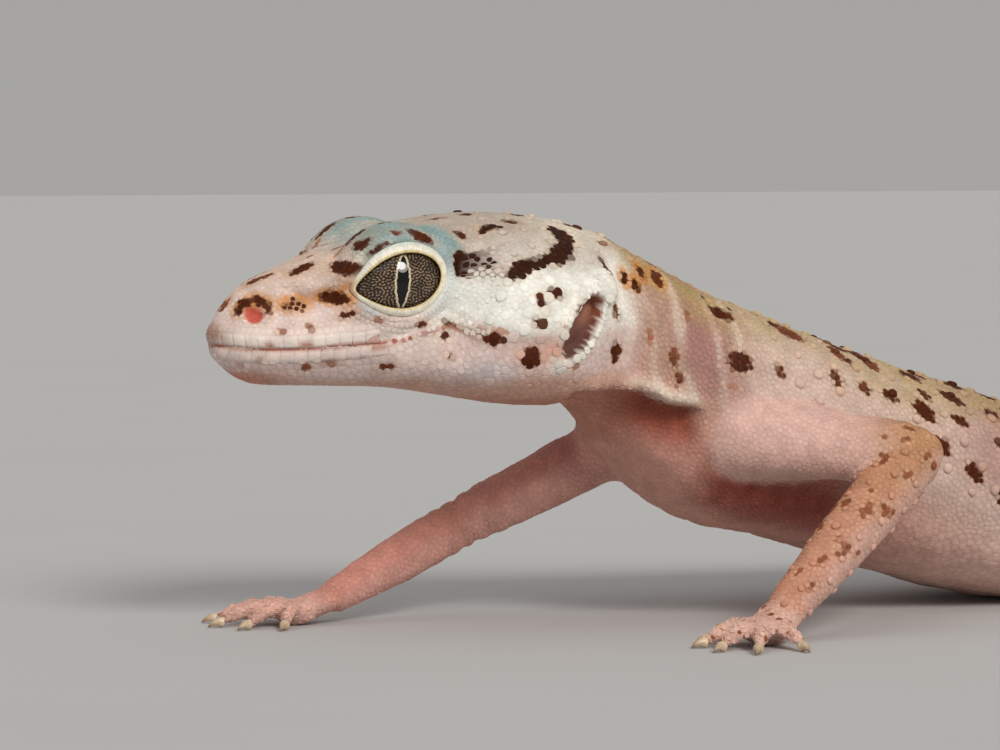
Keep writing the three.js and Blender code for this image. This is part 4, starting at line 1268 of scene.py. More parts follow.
def eye_finish():
    """A near black iris with fine pale wandering lines, a slit pupil with a wavy pale edge,
    and a wet surface.

    The attribute gaze holds, in millimetres from the eye's axis, the way to the snout and up; the
    attribute weave is 1 on the pale lines.
    """
    finish = Finish("gecko_eye", coat_weight=1.0, coat_roughness=0.03, coat_ior=1.47, specular_ior_level=0.0)
    gaze = finish.attribute("gaze", "Vector")
    parts = finish.add("ShaderNodeSeparateXYZ", None, {"Vector": gaze})
    along, height = parts.value("X"), parts.value("Y")
    lines = finish.attribute("weave", "Fac")
    patchy = finish.noise(gaze, 1.1, 2.0)
    base = finish.mix(opaque(colour(26, 17, 11)), opaque(colour(52, 36, 24)), patchy.between(0.35, 0.65))
    pale = finish.mix(opaque(colour(124, 100, 76)), opaque(colour(176, 152, 122)), patchy.between(0.3, 0.6))
    reach = (along * along + height * height * 1.7) ** 0.5
    iris = finish.mix(base, pale, lines * reach.between(3.8, 1.9) * 0.72)
    # the pupil: a slit pinched at its ends, whose edge waves
    slit = abs(along + 0.14 + 0.105 * height)
    wave = (height * 17.0).maths("SINE") * 0.013 + (height * 9.0 + 1.3).maths("SINE") * 0.017
    width = 0.42 * (1.0 - (height * height) / 3.5).maths("MAXIMUM", 0.0) + wave
    edge = slit - width
    band = abs(edge - 0.07).between(0.1, 0.05) * abs(height).between(2.0, 1.6)
    iris = finish.mix(iris, opaque(colour(222, 206, 176)), band * (0.75 + 0.25 * lines))
    corner = along.between(2.6, 3.2)
    iris = finish.mix(iris, opaque(colour(34, 38, 48)), corner)
    finish.set(Base_Color=finish.mix(iris, opaque(colour(5, 4, 5)), edge.between(0.02, -0.02)))
    finish.set(Roughness=0.6 + 0.2 * lines)
    finish.set(Normal=finish.bump(lines, 0.00002, 0.5))
    return finish.material


def plain_tinted(name, roughness, grain_scale, grain, **constants):
    """A tinted surface with a fine grain, for the lids' rims, the eardrums and the claws."""
    finish = Finish(name, **constants)
    place = finish.place()
    speckle = finish.noise(place, grain_scale, 3.0)
    shade = finish.mix(opaque(np.full(3, 0.86)), opaque(np.full(3, 1.1)), speckle.between(0.3, 0.7))
    finish.set(Base_Color=finish.mix(finish.attribute("tint"), shade, 1.0, "MULTIPLY"))
    finish.set(Roughness=roughness + 0.2 * (speckle - 0.5))
    finish.set(Normal=finish.bump(speckle, grain, 0.5))
    return finish.material


# ---------------------------------------------------------------- pieces: skin, eyes, lids, eardrums, claws
SEPARATE = ("eye_", "eyelid_", "eardrum_", "claw_")
flesh = sorted(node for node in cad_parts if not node.startswith(SEPARATE))

skin_place = locate(skin_points)
skin_tint, skin_depth = markings(skin_place, skin_normals)
skin_mesh = put_mesh("skin", skin_points, [skin_quads])
tint(skin_mesh, skin_tint * 0.92)
put_piece("skin", skin_mesh, skin_finish, flesh)

eye_material = eye_finish()
lid_material = plain_tinted("gecko_lid_rim", 0.55, 3000.0, 0.00003, subsurface_weight=0.1,
                            subsurface_scale=0.0006)
drum_material = plain_tinted("gecko_eardrum", 0.42, 1500.0, 0.00004)
claw_material = plain_tinted("gecko_claw", 0.35, 4000.0, 0.00001)


EYE_SHOWN = math.radians(64)  # the part of the ball that is finely meshed, from its axis
WEAVE_SPAN, WEAVE_COUNT = 8.2, 320  # millimetres and cells across the iris's field of lines
WEAVE_SPACING = 0.215
EYE_RINGS, HIDDEN_RINGS, EYE_SIDES = 100, 12, 520
RIM_STEPS, RIM_SIDES, RIM_NOTCHES = 288, 20, 84
DRUM_RINGS, DRUM_SIDES = 32, 48
CLAW_RINGS, CLAW_SIDES = 14, 12


def labyrinth():
    """Wandering lines on a grid: noise kept near one wave length and sharpened, time after time."""
    field = np.random.default_rng(8).standard_normal((WEAVE_COUNT, WEAVE_COUNT))
    wave = np.fft.fftfreq(WEAVE_COUNT, WEAVE_SPAN / WEAVE_COUNT)
    away = np.hypot(1.12 * wave[:, None], 0.94 * wave[None]) * WEAVE_SPACING
    for _ in range(4):
        field = np.real(np.fft.ifft2(np.fft.fft2(field) * np.exp(-(((away - 1) / 0.32) ** 2))))
        field = np.tanh(1.3 * field / field.std() - 0.25)
    return field


weave = labyrinth()


def add_eye(name, side):
    """The ball: a sphere about the gaze, drawn in by a fifth under the lids and flat behind."""
    centre, axes = eye_axes(side)
    widest = math.acos(-EYE_FLAT / EYE_RADIUS)
    shown = EYE_SHOWN * np.arange(1, EYE_RINGS + 1) / EYE_RINGS
    polar = np.concatenate([shown, np.linspace(EYE_SHOWN, widest, HIDDEN_RINGS + 1)[1:]])
    angle = side * round_angles(EYE_SIDES)
    radius = EYE_RADIUS - 0.02
    drawn_in = radius * (1 - 0.2 * ease(EYE_SHOWN + 0.05, EYE_SHOWN + 0.5, polar))
    ring = np.stack([np.cos(angle), np.sin(angle)], -1)
    flat = (drawn_in * np.sin(polar))[:, None, None] * ring
    out = np.broadcast_to((drawn_in * np.cos(polar))[:, None, None], (*flat.shape[:2], 1))
    local = np.concatenate([flat, out], -1)[::-1]
    points, faces = shell(local)
    points[-1] = [0, 0, radius]
    gaze = points * [1, 1, 0]
    mesh = put_mesh(name, from_head(centre + points @ axes), faces)
    layer = mesh.attributes.new("gaze", "FLOAT_VECTOR", "POINT")
    layer.data.foreach_set("vector", gaze.astype(np.float32).ravel())
    layer = mesh.attributes.new("weave", "FLOAT", "POINT")
    place = np.clip(((gaze[:, :2] / WEAVE_SPAN + 0.5) * WEAVE_COUNT).T, 0, WEAVE_COUNT - 1.001)
    corner, share = place.astype(int), place % 1
    value = sum(np.where(du, share[0], 1 - share[0]) * np.where(dv, share[1], 1 - share[1])
                * weave[corner[0] + du, corner[1] + dv] for du, dv in itertools.product((0, 1), repeat=2))
    layer.data.foreach_set("value", ease(0.05, 0.8, value).astype(np.float32))
    put_piece(name, mesh, eye_material, [name])


def add_lid_rim(name, side):
    """The lids' rim: a rounded band round the gap, finely notched across, that lies on the ball."""
    centre, axes = eye_axes(side)
    count, sides = RIM_STEPS, RIM_SIDES
    angle = round_angles(count)
    turn = round_angles(sides)
    half = rim_half(angle)
    edge, outward = opening_edge(angle)
    notch = 0.02 * np.cos(angle * RIM_NOTCHES)
    gap = half[:, None] * (1 + np.cos(turn)[None]) - 0.04
    flat = edge[:, None] + outward[:, None] * gap[..., None]
    level = rim_level(angle[:, None], np.maximum(gap, 0))
    height = (0.16 + 0.25 * half[:, None]) * np.sin(turn)[None] + notch[:, None] * (np.sin(turn) > 0)
    out = np.sqrt(np.maximum(level**2 - (flat**2).sum(-1), 0.1)) + height
    local = np.concatenate([flat, out[..., None]], -1)
    order = slice(None) if side > 0 else slice(None, None, -1)
    local = local[:, order]
    quads = loop_faces(count + 1, sides)
    quads = np.where(quads >= count * sides, quads - count * sides, quads)
    share = ((1 + np.cos(turn)) / 2)[None, order] * np.ones((count, 1))
    scallop = 0.012 * np.cos(angle * RIM_NOTCHES / 2)[:, None]
    upper, snout_end = np.sin(angle)[:, None] * np.ones(sides), np.cos(angle)[:, None] * np.ones(sides)
    edge_share = (share + scallop).ravel()
    paint = layered(np.tile(RIM_CREAM, (count * sides, 1)), (
        (SKY, (ease(0.3, 0.9, upper) * ease(0.45, 0.8, share)).ravel() * 0.3),
        (ORANGE, (ease(0.86, 0.97, snout_end) * ease(0.3, 0.5, share)).ravel() * 0.6),
        (RIM_YELLOW, ease(0.34, 0.18, edge_share) * 0.85),
        (RIM_BROWN, ease(0.1, 0.04, edge_share)),
        (RIM_GREY, ease(0.93, 0.985, edge_share) * 0.85),
    ))
    # painted shade and highlight: each raised notch a little lighter and each low one a little darker
    paint *= (1 + 0.035 * np.cos(angle * RIM_NOTCHES))[:, None].repeat(sides, 1).reshape(-1, 1)
    mesh = put_mesh(name, from_head(centre + local.reshape(-1, 3) @ axes), [quads])
    tint(mesh, paint)
    put_piece(name, mesh, lid_material, [name])


def add_eardrum(name, side):
    """The eardrum: a thin upright oval with faint upright striations."""
    polar = np.linspace(0.06, np.pi - 0.06, DRUM_RINGS)
    angle = round_angles(DRUM_SIDES)
    sphere = np.stack([
        np.sin(polar)[:, None] * np.cos(angle),
        np.sin(polar)[:, None] * np.sin(angle),
        np.broadcast_to(np.cos(polar)[:, None], (DRUM_RINGS, DRUM_SIDES)),
    ], -1)[::-1]
    points, faces = shell(sphere)
    stripes = 0.5 + 0.5 * np.sin(points[:, 1] * 16 + 1.5 * mottle(points, 0.7, 50))
    points = points * EARDRUM_HALF @ (turned(2, EARDRUM_TURN) @ turned(0, -EARDRUM_LEAN)).T
    points = (points + EARDRUM_CENTRE) * [side, 1, 1]
    if side < 0:
        faces = [face[:, ::-1] for face in faces]
    paint = blend(np.tile(EAR_MAUVE, (len(points), 1)), EAR_PALE, 0.5 * stripes)
    mesh = put_mesh(name, from_head(points), faces)
    tint(mesh, paint)
    put_piece(name, mesh, drum_material, [name])


def add_claws(limb):
    """The five claws of a paw: hooked cones, darker at the tip."""
    shells, paint = [], []
    for digit in limb.bones.digits:
        tangent = unit(digit.tip - digit.crest)
        base = digit.tip + tangent * 0.1
        middle = base + digit.along * CLAW_LENGTH * 0.6 + [0, 0, 0.16]
        point = base + digit.along * (CLAW_LENGTH + 0.15)
        point[2] = CLAW_TIP_HEIGHT * 0.5
        u = np.linspace(0, 1, CLAW_RINGS)
        radii = CLAW_BASE * (1 - u) ** 0.75 + 0.03
        grid = tube_grid(bezier(base, middle, point, u), radii, CLAW_SIDES)
        grid[..., 2] = np.maximum(grid[..., 2], 0.01)
        points, faces = shell(grid)
        shells.append((points, faces))
        share = np.append(np.repeat(u, CLAW_SIDES), [0, 1])
        paint.append(blend(np.tile(CLAW_PALE, (len(points), 1)), CLAW_DARK, share**2))
    points, faces = joined(shells)
    name = "claws_" + limb.name
    mesh = put_mesh(name, points, faces)
    tint(mesh, np.concatenate(paint))
    put_piece(name, mesh, claw_material, [f"claw_{limb.name}_{k}" for k in range(1, 6)])


for ending, side in (("left", 1), ("right", -1)):
    add_eye("eye_" + ending, side)
    add_lid_rim("eyelid_" + ending, side)
    add_eardrum("eardrum_" + ending, side)
for limb in limbs:
    add_claws(limb)


# ---------------------------------------------------------------- where the scales stand
rng = np.random.default_rng(20)
LARGE_TRIES, SMALL_TRIES = 40000, 520000  # places tried before they are thinned out
LIP_BAND = 0.92  # height of the plates that edge each lip
LIP_ENDS = 10.8  # how far back the plates run
LIP_STEPS = 300


def zone(here):
    """Shares of the skin that are jaw, cheek, belly, back and tail, for the sizes of the scales."""
    trunk = (1 - here.on_head) * (1 - here.on_limb)
    return SimpleNamespace(
        jaw=here.on_head * ease(0.2, -0.6, here.up),
        throat=here.on_head * ease(-3.0, -4.2, here.up),
        cheek=here.on_head * ease(15.5, 18, here.back) * ease(6.3, 5.2, here.up) * ease(27.5, 26, here.back),
        nape=here.on_head * ease(17, 20, here.back) * ease(4.8, 6, here.up),
        belly=trunk * ease(-0.35, -0.7, here.rise) * ease(12.5, 11.5, here.station),
        back=trunk * ease(-0.35, 0.0, here.rise) * ease(12, 11.4, here.station),
        tail=trunk * ease(11.4, 12, here.station),
        neck=trunk * ease(3.6, 3.2, here.station) * ease(-0.5, -0.1, here.rise),
        spine=trunk * ease(5.0, 4.4, here.station) * ease(0.7, 0.85, here.rise),
        paw=here.on_limb * ease(2.0, 2.6, here.along),
        arm=here.on_limb * ease(2.5, 2.0, here.along),
    )


def small_size(here, dark):
    """Spacing of the small scales, in millimetres: finest on the snout, the lids' surrounds and digits."""
    z = zone(here)
    chest = ease(0.3, -0.1, here.rise) * ease(6, 5, here.station) * (here.on_head < 0.5)
    beads = here.on_head * (dark > 0.6) * ease(13, 15, here.back)
    size = 0.40 + 0.09 * ease(4.5, 7.5, here.station)
    for wanted, share in (
        (0.36, here.on_head), (0.52, z.jaw), (0.42, z.throat), (0.36, chest),
        (0.4 + 0.3 * ease(4, 6.5, here.station), z.belly), (0.62, z.tail), (0.38, z.arm), (0.37, z.paw),
        (0.58, beads),
    ):
        size = size + (wanted - size) * share
    return size


def large_size(here):
    """Size of the large scales, and how far apart they stand; size 0 where there are none."""
    z = zone(here)
    size, apart = np.zeros(len(here.back)), np.full(len(here.back), 2.0)
    for share, value, spacing in (
        (z.cheek * ease(-0.8, 0.2, here.up), 0.74, 0.92), (z.cheek * ease(0.2, -0.8, here.up), 0.7, 1.3),
        (z.nape, 0.6, 1.7), (z.back, 0.74, 1.8), (z.neck, 0.5, 1.9), (z.spine, 0.62, 1.3),
        (z.arm * (here.limb > 1), 0.7, 1.75), (z.arm * (here.limb == 0) * (here.along > 1.0), 0.55, 1.5),
        (z.tail * ease(-0.5, 0, here.rise), 0.95, 2.1),
    ):
        size = np.where(share > 0.5, value, size)
        apart = np.where(share > 0.5, spacing, apart)
    return size, apart


def tree_of(points):
    """A search tree over rows of points."""
    tree = KDTree(len(points))
    for index, point in enumerate(points.tolist()):
        tree.insert(point, index)
    tree.balance()
    return tree


def thinned(points, spacing, taken, room):
    """Indices of points kept in turn, each clearing the later ones nearer than its spacing.

    Places in taken are cleared first, by their own room.
    """
    tree = tree_of(points)
    free = np.ones(len(points), bool)
    for place, clear in zip(taken, room):
        for _, index, _ in tree.find_range(place, clear):
            free[index] = False
    kept = []
    for index, (point, clear) in enumerate(zip(points.tolist(), spacing.tolist())):
        if free[index]:
            kept.append(index)
            for _, other, _ in tree.find_range(point, clear):
                free[other] = False
    return np.array(kept, int)


def neighbours(points, count):
    """Indices of the nearest others to each point."""
    tree = tree_of(points)
    return np.array([
        [other for _, other, _ in tree.find_n(point, count + 1)][1:] for point in points.tolist()
    ])


def scattered_on_skin(count, weight):
    """Random points on the skin, denser where the vertices' weight is larger, with their
    triangle's corners."""
    triangles = np.concatenate([skin_quads[:, [0, 1, 2]], skin_quads[:, [0, 2, 3]]])
    a, b, c = (skin_points[triangles[:, k]] for k in range(3))
    area = np.linalg.norm(np.cross(b - a, c - a), axis=1)
    chance = np.cumsum(area * weight[triangles].mean(1))
    chosen = triangles[np.searchsorted(chance, rng.random(count) * chance[-1])]
    u, v = rng.random((2, count))
    flip = u + v > 1
    u, v = np.where(flip, 1 - u, u), np.where(flip, 1 - v, v)
    share = np.stack([1 - u - v, u, v], -1)
    return (skin_points[chosen] * share[..., None]).sum(1), chosen, share


def along_path(path, spacing):
    """Points at even spacing along a path."""
    run = np.concatenate([[0], np.cumsum(np.linalg.norm(np.diff(path, axis=0), axis=1))])
    steps = np.linspace(0, run[-1], max(2, round(run[-1] / spacing) + 1))
    steps = (steps[1:] + steps[:-1]) / 2
    return np.stack([np.interp(steps, run, path[:, k]) for k in range(3)], -1)


def lip_sheet(offsets):
    """Lines round the snout at heights over the lip line, from the right mouth corner to the left one."""
    back = 0.02 + LIP_ENDS * np.linspace(0, 1, LIP_STEPS) ** 2
    grid = head_grid(back, np.arange(4.01, 8, 0.02), -COAT)
    lip = lip_height(back)
    lines = []
    for offset in offsets:
        nearest = np.argmin(np.abs(grid[:, :, 2] - (lip + offset)[:, None]), axis=1)
        half = grid[np.arange(len(back)), nearest]
        lines.append(np.concatenate([half[::-1] * [-1, 1, 1], half]))
    return np.array(lines)


def lip_rows():
    """Rows of small scales over and under the plates of the lips."""
    for offset, size in ((1.2, 0.5), (-1.2, 0.6)):
        path = lip_sheet([offset])[0]
        for half in (path[:LIP_STEPS], path[LIP_STEPS:]):
            yield from_head(along_path(half, size)), size, 0.05


def lip_plates(offsets, across):
    """Places on the plates of one lip: plate by plate, by height and from right to left within each."""
    lines = lip_sheet(offsets)
    middle = lines[len(offsets) // 2]
    run = np.concatenate([[0], np.cumsum(np.linalg.norm(np.diff(middle, axis=0), axis=1))])
    run -= run[-1] / 2
    cuts = [0.56]
    while cuts[-1] + 0.8 < run[-1]:
        cuts.append(cuts[-1] + 0.95 * rng.uniform(0.93, 1.07))
    cuts = np.array([-cut for cut in cuts[::-1]] + cuts)
    spots = (cuts[:-1] + cuts[1:])[:, None] / 2 + (np.diff(cuts) / 2 - 0.004)[:, None] * across
    return np.stack([
        np.stack([np.interp(spots, run, line[:, k]) for k in range(3)], -1) for line in lines
    ], 1)


def lid_rows():
    """Rows of small scales round each eye, just outside the lids' rim."""
    angle = np.linspace(0, 2 * np.pi, 400)
    for side in (1, -1):
        centre, axes = eye_axes(side)
        for row, size in ((0.13, 0.3), (0.45, 0.34), (0.82, 0.37)):
            edge, outward = opening_edge(angle)
            gap = 2 * rim_half(angle) + row
            flat = edge + outward * gap[:, None]
            out = np.sqrt(np.maximum(rim_level(angle, gap) ** 2 - (flat**2).sum(-1), 0.5))
            path = centre + np.concatenate([flat, out[:, None]], -1) @ axes
            yield from_head(along_path(path, size)), size, 0.14


def ear_fringe():
    """The pointed scales that stand back over the ear from its front margin."""
    height = np.linspace(1.5, -1.8, 11)
    back = EAR[0] + EAR_LEAN * height - 1.06 * EAR_HALF[0] * np.sqrt(1 - (height / EAR_HALF[1]) ** 2)
    for side in (1, -1):
        yield from_head(np.stack([np.full(11, 9.0 * side), back, EAR[1] + height], -1)), 0.42, 0.16


skin_tree = BVHTree.FromPolygons(skin_points.tolist(), skin_quads.tolist())


def on_skin(points):
    """The nearest places on the skin."""
    return np.array([list(skin_tree.find_nearest(point)[0]) for point in points.tolist()])


def bare(here):
    """Where no scale may stand: the lids' gaps and rims, the ears, the nostrils and the lips' plates."""
    above = here.up - lip_height(here.back)
    found = (by_nostril(here) < 1.08) | ((by_ear(here)[2] < 1.16) & (np.abs(here.left) > 4))
    found |= (np.abs(above) < 0.86 * LIP_BAND) & (here.back < LIP_ENDS)
    for side in (1, -1):
        eye = by_eye(here, side)
        found |= (eye.gap < 2 * rim_half(eye.angle) - 0.1) & (eye.out > 0)
    return found & (here.on_head > 0.5)


def rooted():
    """All the scales: root, size, kind (0 small, 1 large, 2 the ear's fringe) and given height shares or -1."""
    size_here = small_size(skin_place, skin_depth)
    clear = 1.0 - bare(skin_place)
    clear_of_floor = skin_points[:, 2] > 0.06

    fringe = list(ear_fringe())
    rows = list(lip_rows()) + list(lid_rows())
    fixed = on_skin(np.concatenate([row[0] for row in fringe + rows]))
    fixed_size = np.concatenate([np.full(len(row[0]), row[1]) for row in fringe + rows])
    fixed_dome = np.concatenate([np.full(len(row[0]), row[2]) for row in fringe + rows])
    is_fringe = np.arange(len(fixed)) < sum(len(row[0]) for row in fringe)

    big, apart = large_size(skin_place)
    big = big * clear
    points, corners, share = scattered_on_skin(LARGE_TRIES, (big > 0) / apart**2)
    spacing = (apart[corners] * share).sum(1)
    sizes = (big[corners] * share).sum(1)
    kept = thinned(points, spacing, fixed.tolist(), (fixed_size / 2 + 0.35).tolist())
    kept = kept[sizes[kept] > 0.5]
    large, large_sizes = points[kept], sizes[kept] * rng.uniform(0.75, 1.1, len(kept))

    points, corners, share = scattered_on_skin(SMALL_TRIES, clear * clear_of_floor / size_here**2)
    sizes = (size_here[corners] * share).sum(1)
    placed = np.concatenate([fixed, large])
    placed_size = np.concatenate([fixed_size, large_sizes])
    kept = thinned(points, 0.84 * sizes, placed.tolist(), (0.46 * placed_size + 0.18).tolist())
    roots = np.concatenate([placed, points[kept]])
    size = np.concatenate([placed_size, sizes[kept]])
    loose = np.concatenate([np.zeros(len(fixed)), np.full(len(large), 0.15), np.ones(len(kept))])
    for _ in range(2):
        near = neighbours(roots, 8)
        apart = roots[:, None] - roots[near]
        distance = np.linalg.norm(apart, axis=2) + 1e-3
        wanted = 0.53 * (size[:, None] + size[near])
        push = np.maximum(wanted - distance, 0)[..., None] * apart / distance[..., None]
        roots = on_skin(roots + 0.32 * loose[:, None] * push.sum(1))
    height_share = np.full(len(roots), -1.0)
    height_share[:len(fixed)] = fixed_dome
    kind = np.zeros(len(roots), int)
    kind[len(fixed):len(placed)] = 1
    kind[:len(fixed)][is_fringe] = 2
    stays = ~bare(locate(roots)) | (np.arange(len(roots)) < len(fixed))
    return roots[stays], size[stays], kind[stays], height_share[stays]


# ---------------------------------------------------------------- the scales' solids
# Rings of a scale from its sunk edge up over the dome, as shares of its reach and of its height.
SMALL = SimpleNamespace(sides=6, rings=((1.0, -1.0), (0.88, 0.6)), smooth=False)
LARGE_FROM = 0.74  # scales broader than this are rounded as the large ones are
LARGE = SimpleNamespace(sides=10, rings=((1.0, -1.0), (0.93, 0.4), (0.78, 0.72), (0.45, 0.94)), smooth=True)
BAKE_PATCH = 0.0015  # half the width of a scale's patch on the bake map


def skin_beneath(points):
    """Mean normal of the skin's corners nearest to each point."""
    nearest = np.array([skin_tree.find_nearest(point)[2] for point in points.tolist()])
    return unit(skin_normals[skin_quads[nearest]].mean(1))


def dome_share(here, kind, size):
    """Height of a scale as a share of its size: flat on lips and belly, conical on the back."""
    z = zone(here)
    share = 0.11 - 0.06 * here.on_head - 0.04 * z.arm
    share = share + (0.05 - share) * np.maximum(z.jaw, z.belly)
    large = kind == 1
    share = np.where(large & (here.on_head > 0.5), 0.065, share)
    share = np.where(large & (here.on_head < 0.5), 0.33 - 0.12 * z.neck, share)
    return np.where(large & (z.nape > 0.5), 0.3, share)


def unwrapped(here):
    """Place of each root on a flat plan of the skin: head and trunk above, the four limbs in a row below."""
    on_head, on_limb = here.on_head > 0.5, here.on_limb > 0.5
    run = np.where(on_head, 0.17 * here.back / 28, 0.17 + 0.82 * here.station / (len(BODY) - 1))
    turn = np.where(on_head, np.arctan2(here.up - 1, here.left), np.arctan2(here.rise, here.aside))
    limb_run = 0.25 * here.limb + 0.01 + 0.23 * here.along / 4
    return np.stack([np.where(on_limb, limb_run, 0.005 + 0.99 * run),
                     np.where(on_limb, 0.12 + 0.21 * here.limb_angle / (2 * np.pi),
                              0.62 + 0.74 * turn / (2 * np.pi))],
                    -1)


def coat_of_scales():
    """Every scale with its axes, height, lean to the tail, neighbours, colour and place on the flat plan."""
    roots, size, kind, height_share = rooted()
    here = locate(roots)
    normal = skin_beneath(roots)
    ahead = unit(here.ahead - (here.ahead * normal).sum(1, keepdims=True) * normal)
    paint, dark = markings(here, normal)
    paint = paint * (1 + (0.03 + 0.13 * dark) * rng.standard_normal(len(roots)).clip(-2, 2))[:, None]
    share = np.where(height_share > 0, height_share, dome_share(here, kind, size))
    lean = ahead * (0.10 * size)[:, None]
    fringe = kind == 2
    lean[fringe] = ahead[fringe] * 0.45
    paint[fringe] = CHEEK_WHITE
    return SimpleNamespace(root=roots, size=size, kind=kind, height=size * share, here=here, normal=normal,
                           ahead=ahead, across=np.cross(normal, ahead), lean=lean, paint=paint,
                           near=neighbours(roots, 14), plan=unwrapped(here))


def reaches(coat, chosen, directions):
    """How far each scale runs in each direction: to the power lines against its neighbours, less a hair."""
    near = coat.near[chosen]
    offset = coat.root[near] - coat.root[chosen][:, None]
    x, y, lift = ((offset * axis[chosen][:, None]).sum(2) for axis in (coat.ahead, coat.across, coat.normal))
    square = x**2 + y**2
    beside = np.abs(lift) < 0.8 * np.sqrt(square) + 0.05
    size = coat.size[chosen]
    rise = square + (size[:, None] ** 2 - coat.size[near] ** 2) / 4
    reach = []
    for cosine, sine in directions:
        facing = x * cosine + y * sine
        limit = np.where(beside & (facing > 1e-4), rise / (2 * np.maximum(facing, 1e-4)), np.inf)
        reach.append(limit.min(1))
    return 0.97 * np.clip(np.stack(reach, -1), 0.22 * size[:, None], 0.62 * size[:, None])


def add_scales(name, coat, chosen, form):
    """One piece of the coat: the chosen scales as closed solids, with their colours, painted darker at the
    sunk edges and lighter at the tops, and bake map.
    """
    count, sides, rows = len(chosen), form.sides, len(form.rings)
    angle = 2 * np.pi * (np.arange(sides) + 0.5) / sides
    directions = np.stack([np.cos(angle), np.sin(angle)], -1)
    reach = reaches(coat, chosen, directions)
    root, normal, lean = (part[chosen][:, None] for part in (coat.root, coat.normal, coat.lean))
    height = coat.height[chosen][:, None, None]
    # how far the edges lie under the skin
    sunk = np.clip(0.28 * coat.size[chosen] - 0.06, 0.035, 0.1)[:, None, None]
    flat = directions[:, :1] * coat.ahead[chosen][:, None] + directions[:, 1:] * coat.across[chosen][:, None]
    # painted shade along each scale's sunk edge ring (0.9) and a painted highlight at its top (1.03), carried
    # by shade
    rings, shade = [], []
    for share, level in form.rings:
        lift = -sunk if level < 0 else level * height
        rings.append(root + share * reach[..., None] * flat + lift * normal + max(level, 0) * lean)
        shade += [0.9 if level < 0 else 0.99] * sides
    rings.append(root + height * normal + lean)
    shade.append(1.03)
    points = np.concatenate(rings, axis=1)
    per = rows * sides + 1

    k = np.arange(sides)
    following = (k + 1) % sides
    last = (rows - 1) * sides
    sheets = (loop_faces(rows, sides), np.stack([last + k, last + following, np.full(sides, per - 1)], -1),
              k[::-1][None])
    shift = per * np.arange(count)[:, None, None]
    faces = [(sheet + shift).reshape(-1, sheet.shape[1]) for sheet in sheets]
    low, high = (1000 * np.array(corner) - ORIGIN for corner in cad_box)
    mesh = put_mesh(
        name, np.clip(points.reshape(-1, 3), low + 0.005, high - 0.005), faces, smooth=form.smooth
    )
    tint(mesh, (coat.paint[chosen][:, None] * np.array(shade)[:, None]).reshape(-1, 3))

    patch = np.concatenate([share * directions for share, _ in form.rings] + [np.zeros((1, 2))]) * BAKE_PATCH
    plan = (coat.plan[chosen][:, None] + patch).reshape(-1, 2)
    put_bake_map(mesh, faces, plan)
    put_piece(name, mesh, scale_finish)


def add_lip_plates(name, low, high):
    """The large flat plates that edge one lip, as one piece: closed pads with narrow seams between them."""
    across = np.array([-1, -0.94, -0.6, 0, 0.6, 0.94, 1])
    upward = np.array([-1, -0.92, -0.4, 0.4, 0.92, 1])
    grid = lip_plates((low + high) / 2 + upward * (high - low) / 2, across)
    count, rows, columns = grid.shape[:3]
    roots = on_skin(from_head(grid.reshape(-1, 3)))
    normal = skin_beneath(roots)
    edge = np.maximum(np.abs(across)[None], np.abs(upward)[:, None])
    lift = np.where(edge == 1, -0.008, np.where(edge > 0.9, 0.024, 0.032))
    points = roots + normal * np.tile(lift.ravel(), count)[:, None]
    paint, _ = markings(locate(roots), normal)
    # painted shade: each plate a little darker along its edges
    paint = paint * np.tile(np.where(edge == 1, 0.95, 1.0).ravel(), count)[:, None]

    index = np.arange(rows * columns).reshape(rows, columns)
    quads = np.stack([index[:-1, :-1], index[:-1, 1:], index[1:, 1:], index[1:, :-1]], -1).reshape(-1, 4)
    border = np.concatenate([index[0, :-1], index[:-1, -1], index[-1, :0:-1], index[:0:-1, 0]])
    shift = rows * columns * np.arange(count)[:, None, None]
    faces = [(sheet + shift).reshape(-1, sheet.shape[1]) for sheet in (quads, border[::-1][None])]
    corner = points[faces[0][0]]
    if np.dot(np.cross(corner[1] - corner[0], corner[2] - corner[0]), normal[0]) < 0:
        faces = [face[:, ::-1] for face in faces]
    mesh = put_mesh(name, points, faces)
    tint(mesh, paint)
    middle = roots.reshape(count, -1, 3).mean(1)
    u, v = np.meshgrid(across, upward)
    patch = np.stack([u.ravel(), v.ravel()], -1) * BAKE_PATCH
    plan = (unwrapped(locate(middle))[:, None] + patch).reshape(-1, 2)
    put_bake_map(mesh, faces, plan)
    put_piece(name, mesh, scale_finish)


def regions(here):
    """Names of the coat's regions, and the scales in each."""
    on_head, on_limb = here.on_head > 0.5, here.on_limb > 0.5
    for index, limb in enumerate(limbs):
        yield "limb_" + limb.name, on_limb & (here.limb == index)
    for side, here_side in (("left", here.left > 0), ("right", here.left <= 0)):
        yield "head_" + side, on_head & ~on_limb & here_side
    trunk = ~on_head & ~on_limb
    for side, here_side in (("left", here.aside > 0), ("right", here.aside <= 0)):
        for name, first, last in (
            ("neck", -1, 4.2), ("trunk", 4.2, 8.2), ("hips", 8.2, 11.4), ("tail", 11.4, 19),
        ):
            yield f"{name}_{side}", trunk & here_side & (here.station >= first) & (here.station < last)


def add_coat():
    """All the scales but the lips' plates, region by region, the small and the large apart."""
    coat = coat_of_scales()
    large = (coat.kind == 1) | (coat.size > LARGE_FROM)
    for region, inside in regions(coat.here):
        for prefix, form, of_form in (("scales_", SMALL, ~large), ("large_scales_", LARGE, large)):
            chosen = np.flatnonzero(inside & of_form)
            if len(chosen):
                add_scales(prefix + region, coat, chosen, form)


add_coat()
add_lip_plates("plates_upper_lip", 0.03, LIP_BAND)
add_lip_plates("plates_lower_lip", -LIP_BAND, -0.03)


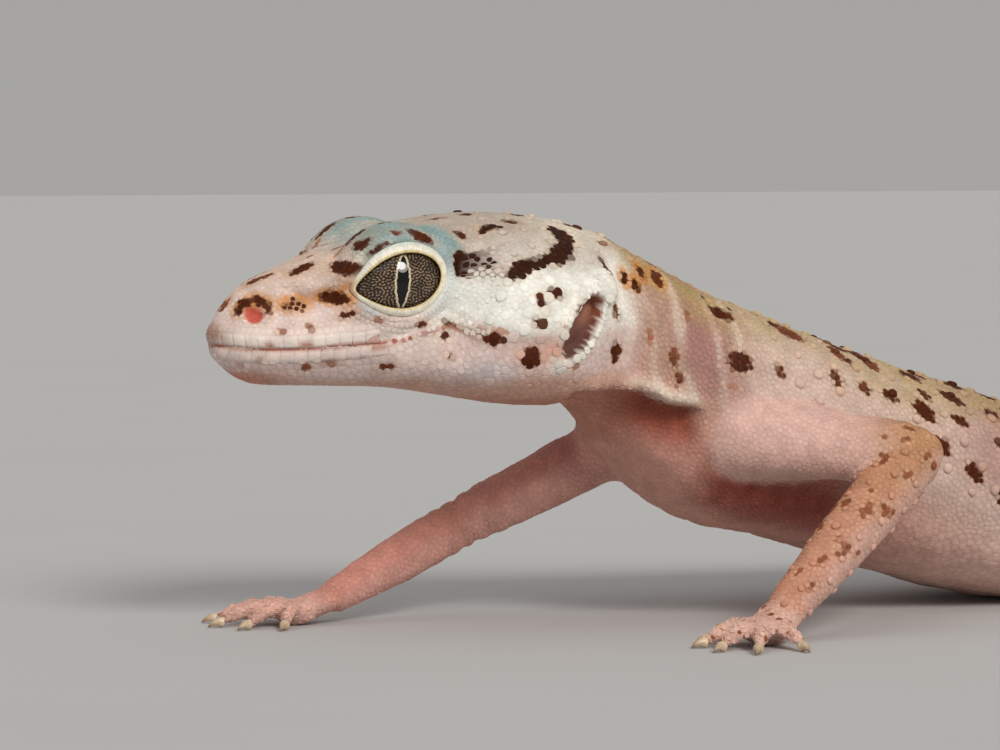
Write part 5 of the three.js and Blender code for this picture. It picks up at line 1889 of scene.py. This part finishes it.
# ---------------------------------------------------------------- floor, light and camera
FLOOR_HALF = 3.0  # metres
FLOOR_DARK, FLOOR_PALE = np.full(3, 0.515), np.full(3, 0.54)
ROOM_COLOUR, ROOM_LIGHT = (1.0, 0.985, 0.965, 1), 0.38
# name, azimuth, elevation, strength, spread and colour of each lamp
SUNS = (
    ("key", 84, 33, 0.9, 22, (1.0, 0.955, 0.90)),
    ("key_core", 83, 36, 1.0, 16, (1.0, 0.97, 0.93)),
    ("fill", 20, 50, 0.5, 60, (1.0, 0.97, 0.94)),
)
LENS, SENSOR, NEAREST = 150, 36, 0.01  # millimetres, millimetres and metres


def add_stage():
    """A wide pale floor and a pale room."""
    corners = FLOOR_HALF * np.array([[-1, -1, 0], [1, -1, 0], [1, 1, 0], [-1, 1, 0]])
    mesh = put_mesh("floor", corners, [np.array([[0, 1, 2, 3]])], False)
    floor = linked("floor", mesh)
    finish = Finish("studio_floor", roughness=0.8, specular_ior_level=0.1)
    tone = finish.noise(finish.place(), 30.0, 3.0)
    finish.set(Base_Color=finish.mix(opaque(FLOOR_DARK), opaque(FLOOR_PALE), tone))
    mesh.materials.append(finish.material)

    world = bpy.data.worlds.new("studio")
    world.use_nodes = True
    background = world.node_tree.nodes["Background"]
    background.inputs["Color"].default_value = ROOM_COLOUR
    background.inputs["Strength"].default_value = ROOM_LIGHT
    bpy.context.scene.world = world
    bpy.context.scene.view_settings.view_transform = "Standard"


def add_sun(name, azimuth, elevation, strength, spread, warmth):
    """A soft distant lamp that shines from an azimuth and an elevation, in degrees."""
    lamp = bpy.data.lights.new(name, "SUN")
    lamp.energy, lamp.angle, lamp.color = strength, math.radians(spread), warmth
    holder = linked(name, lamp)
    holder.rotation_euler = (math.radians(90 - elevation), 0, math.radians(azimuth))


CAMERA_AZIMUTH, CAMERA_ELEVATION = 58, 3
CAMERA_PLACE = np.array([248.527, -170.802, 33.556])


def add_camera():
    """A long lens at the animal's left front, just above the floor."""
    data = bpy.data.cameras.new("camera")
    data.lens, data.sensor_width, data.clip_start = LENS, SENSOR, NEAREST
    camera = linked("camera", data)
    camera.location = (CAMERA_PLACE + ORIGIN) / 1000
    camera.rotation_euler = (math.radians(90 - CAMERA_ELEVATION), 0, math.radians(CAMERA_AZIMUTH))
    bpy.context.scene.camera = camera


add_stage()
for sun in SUNS:
    add_sun(*sun)
add_camera()
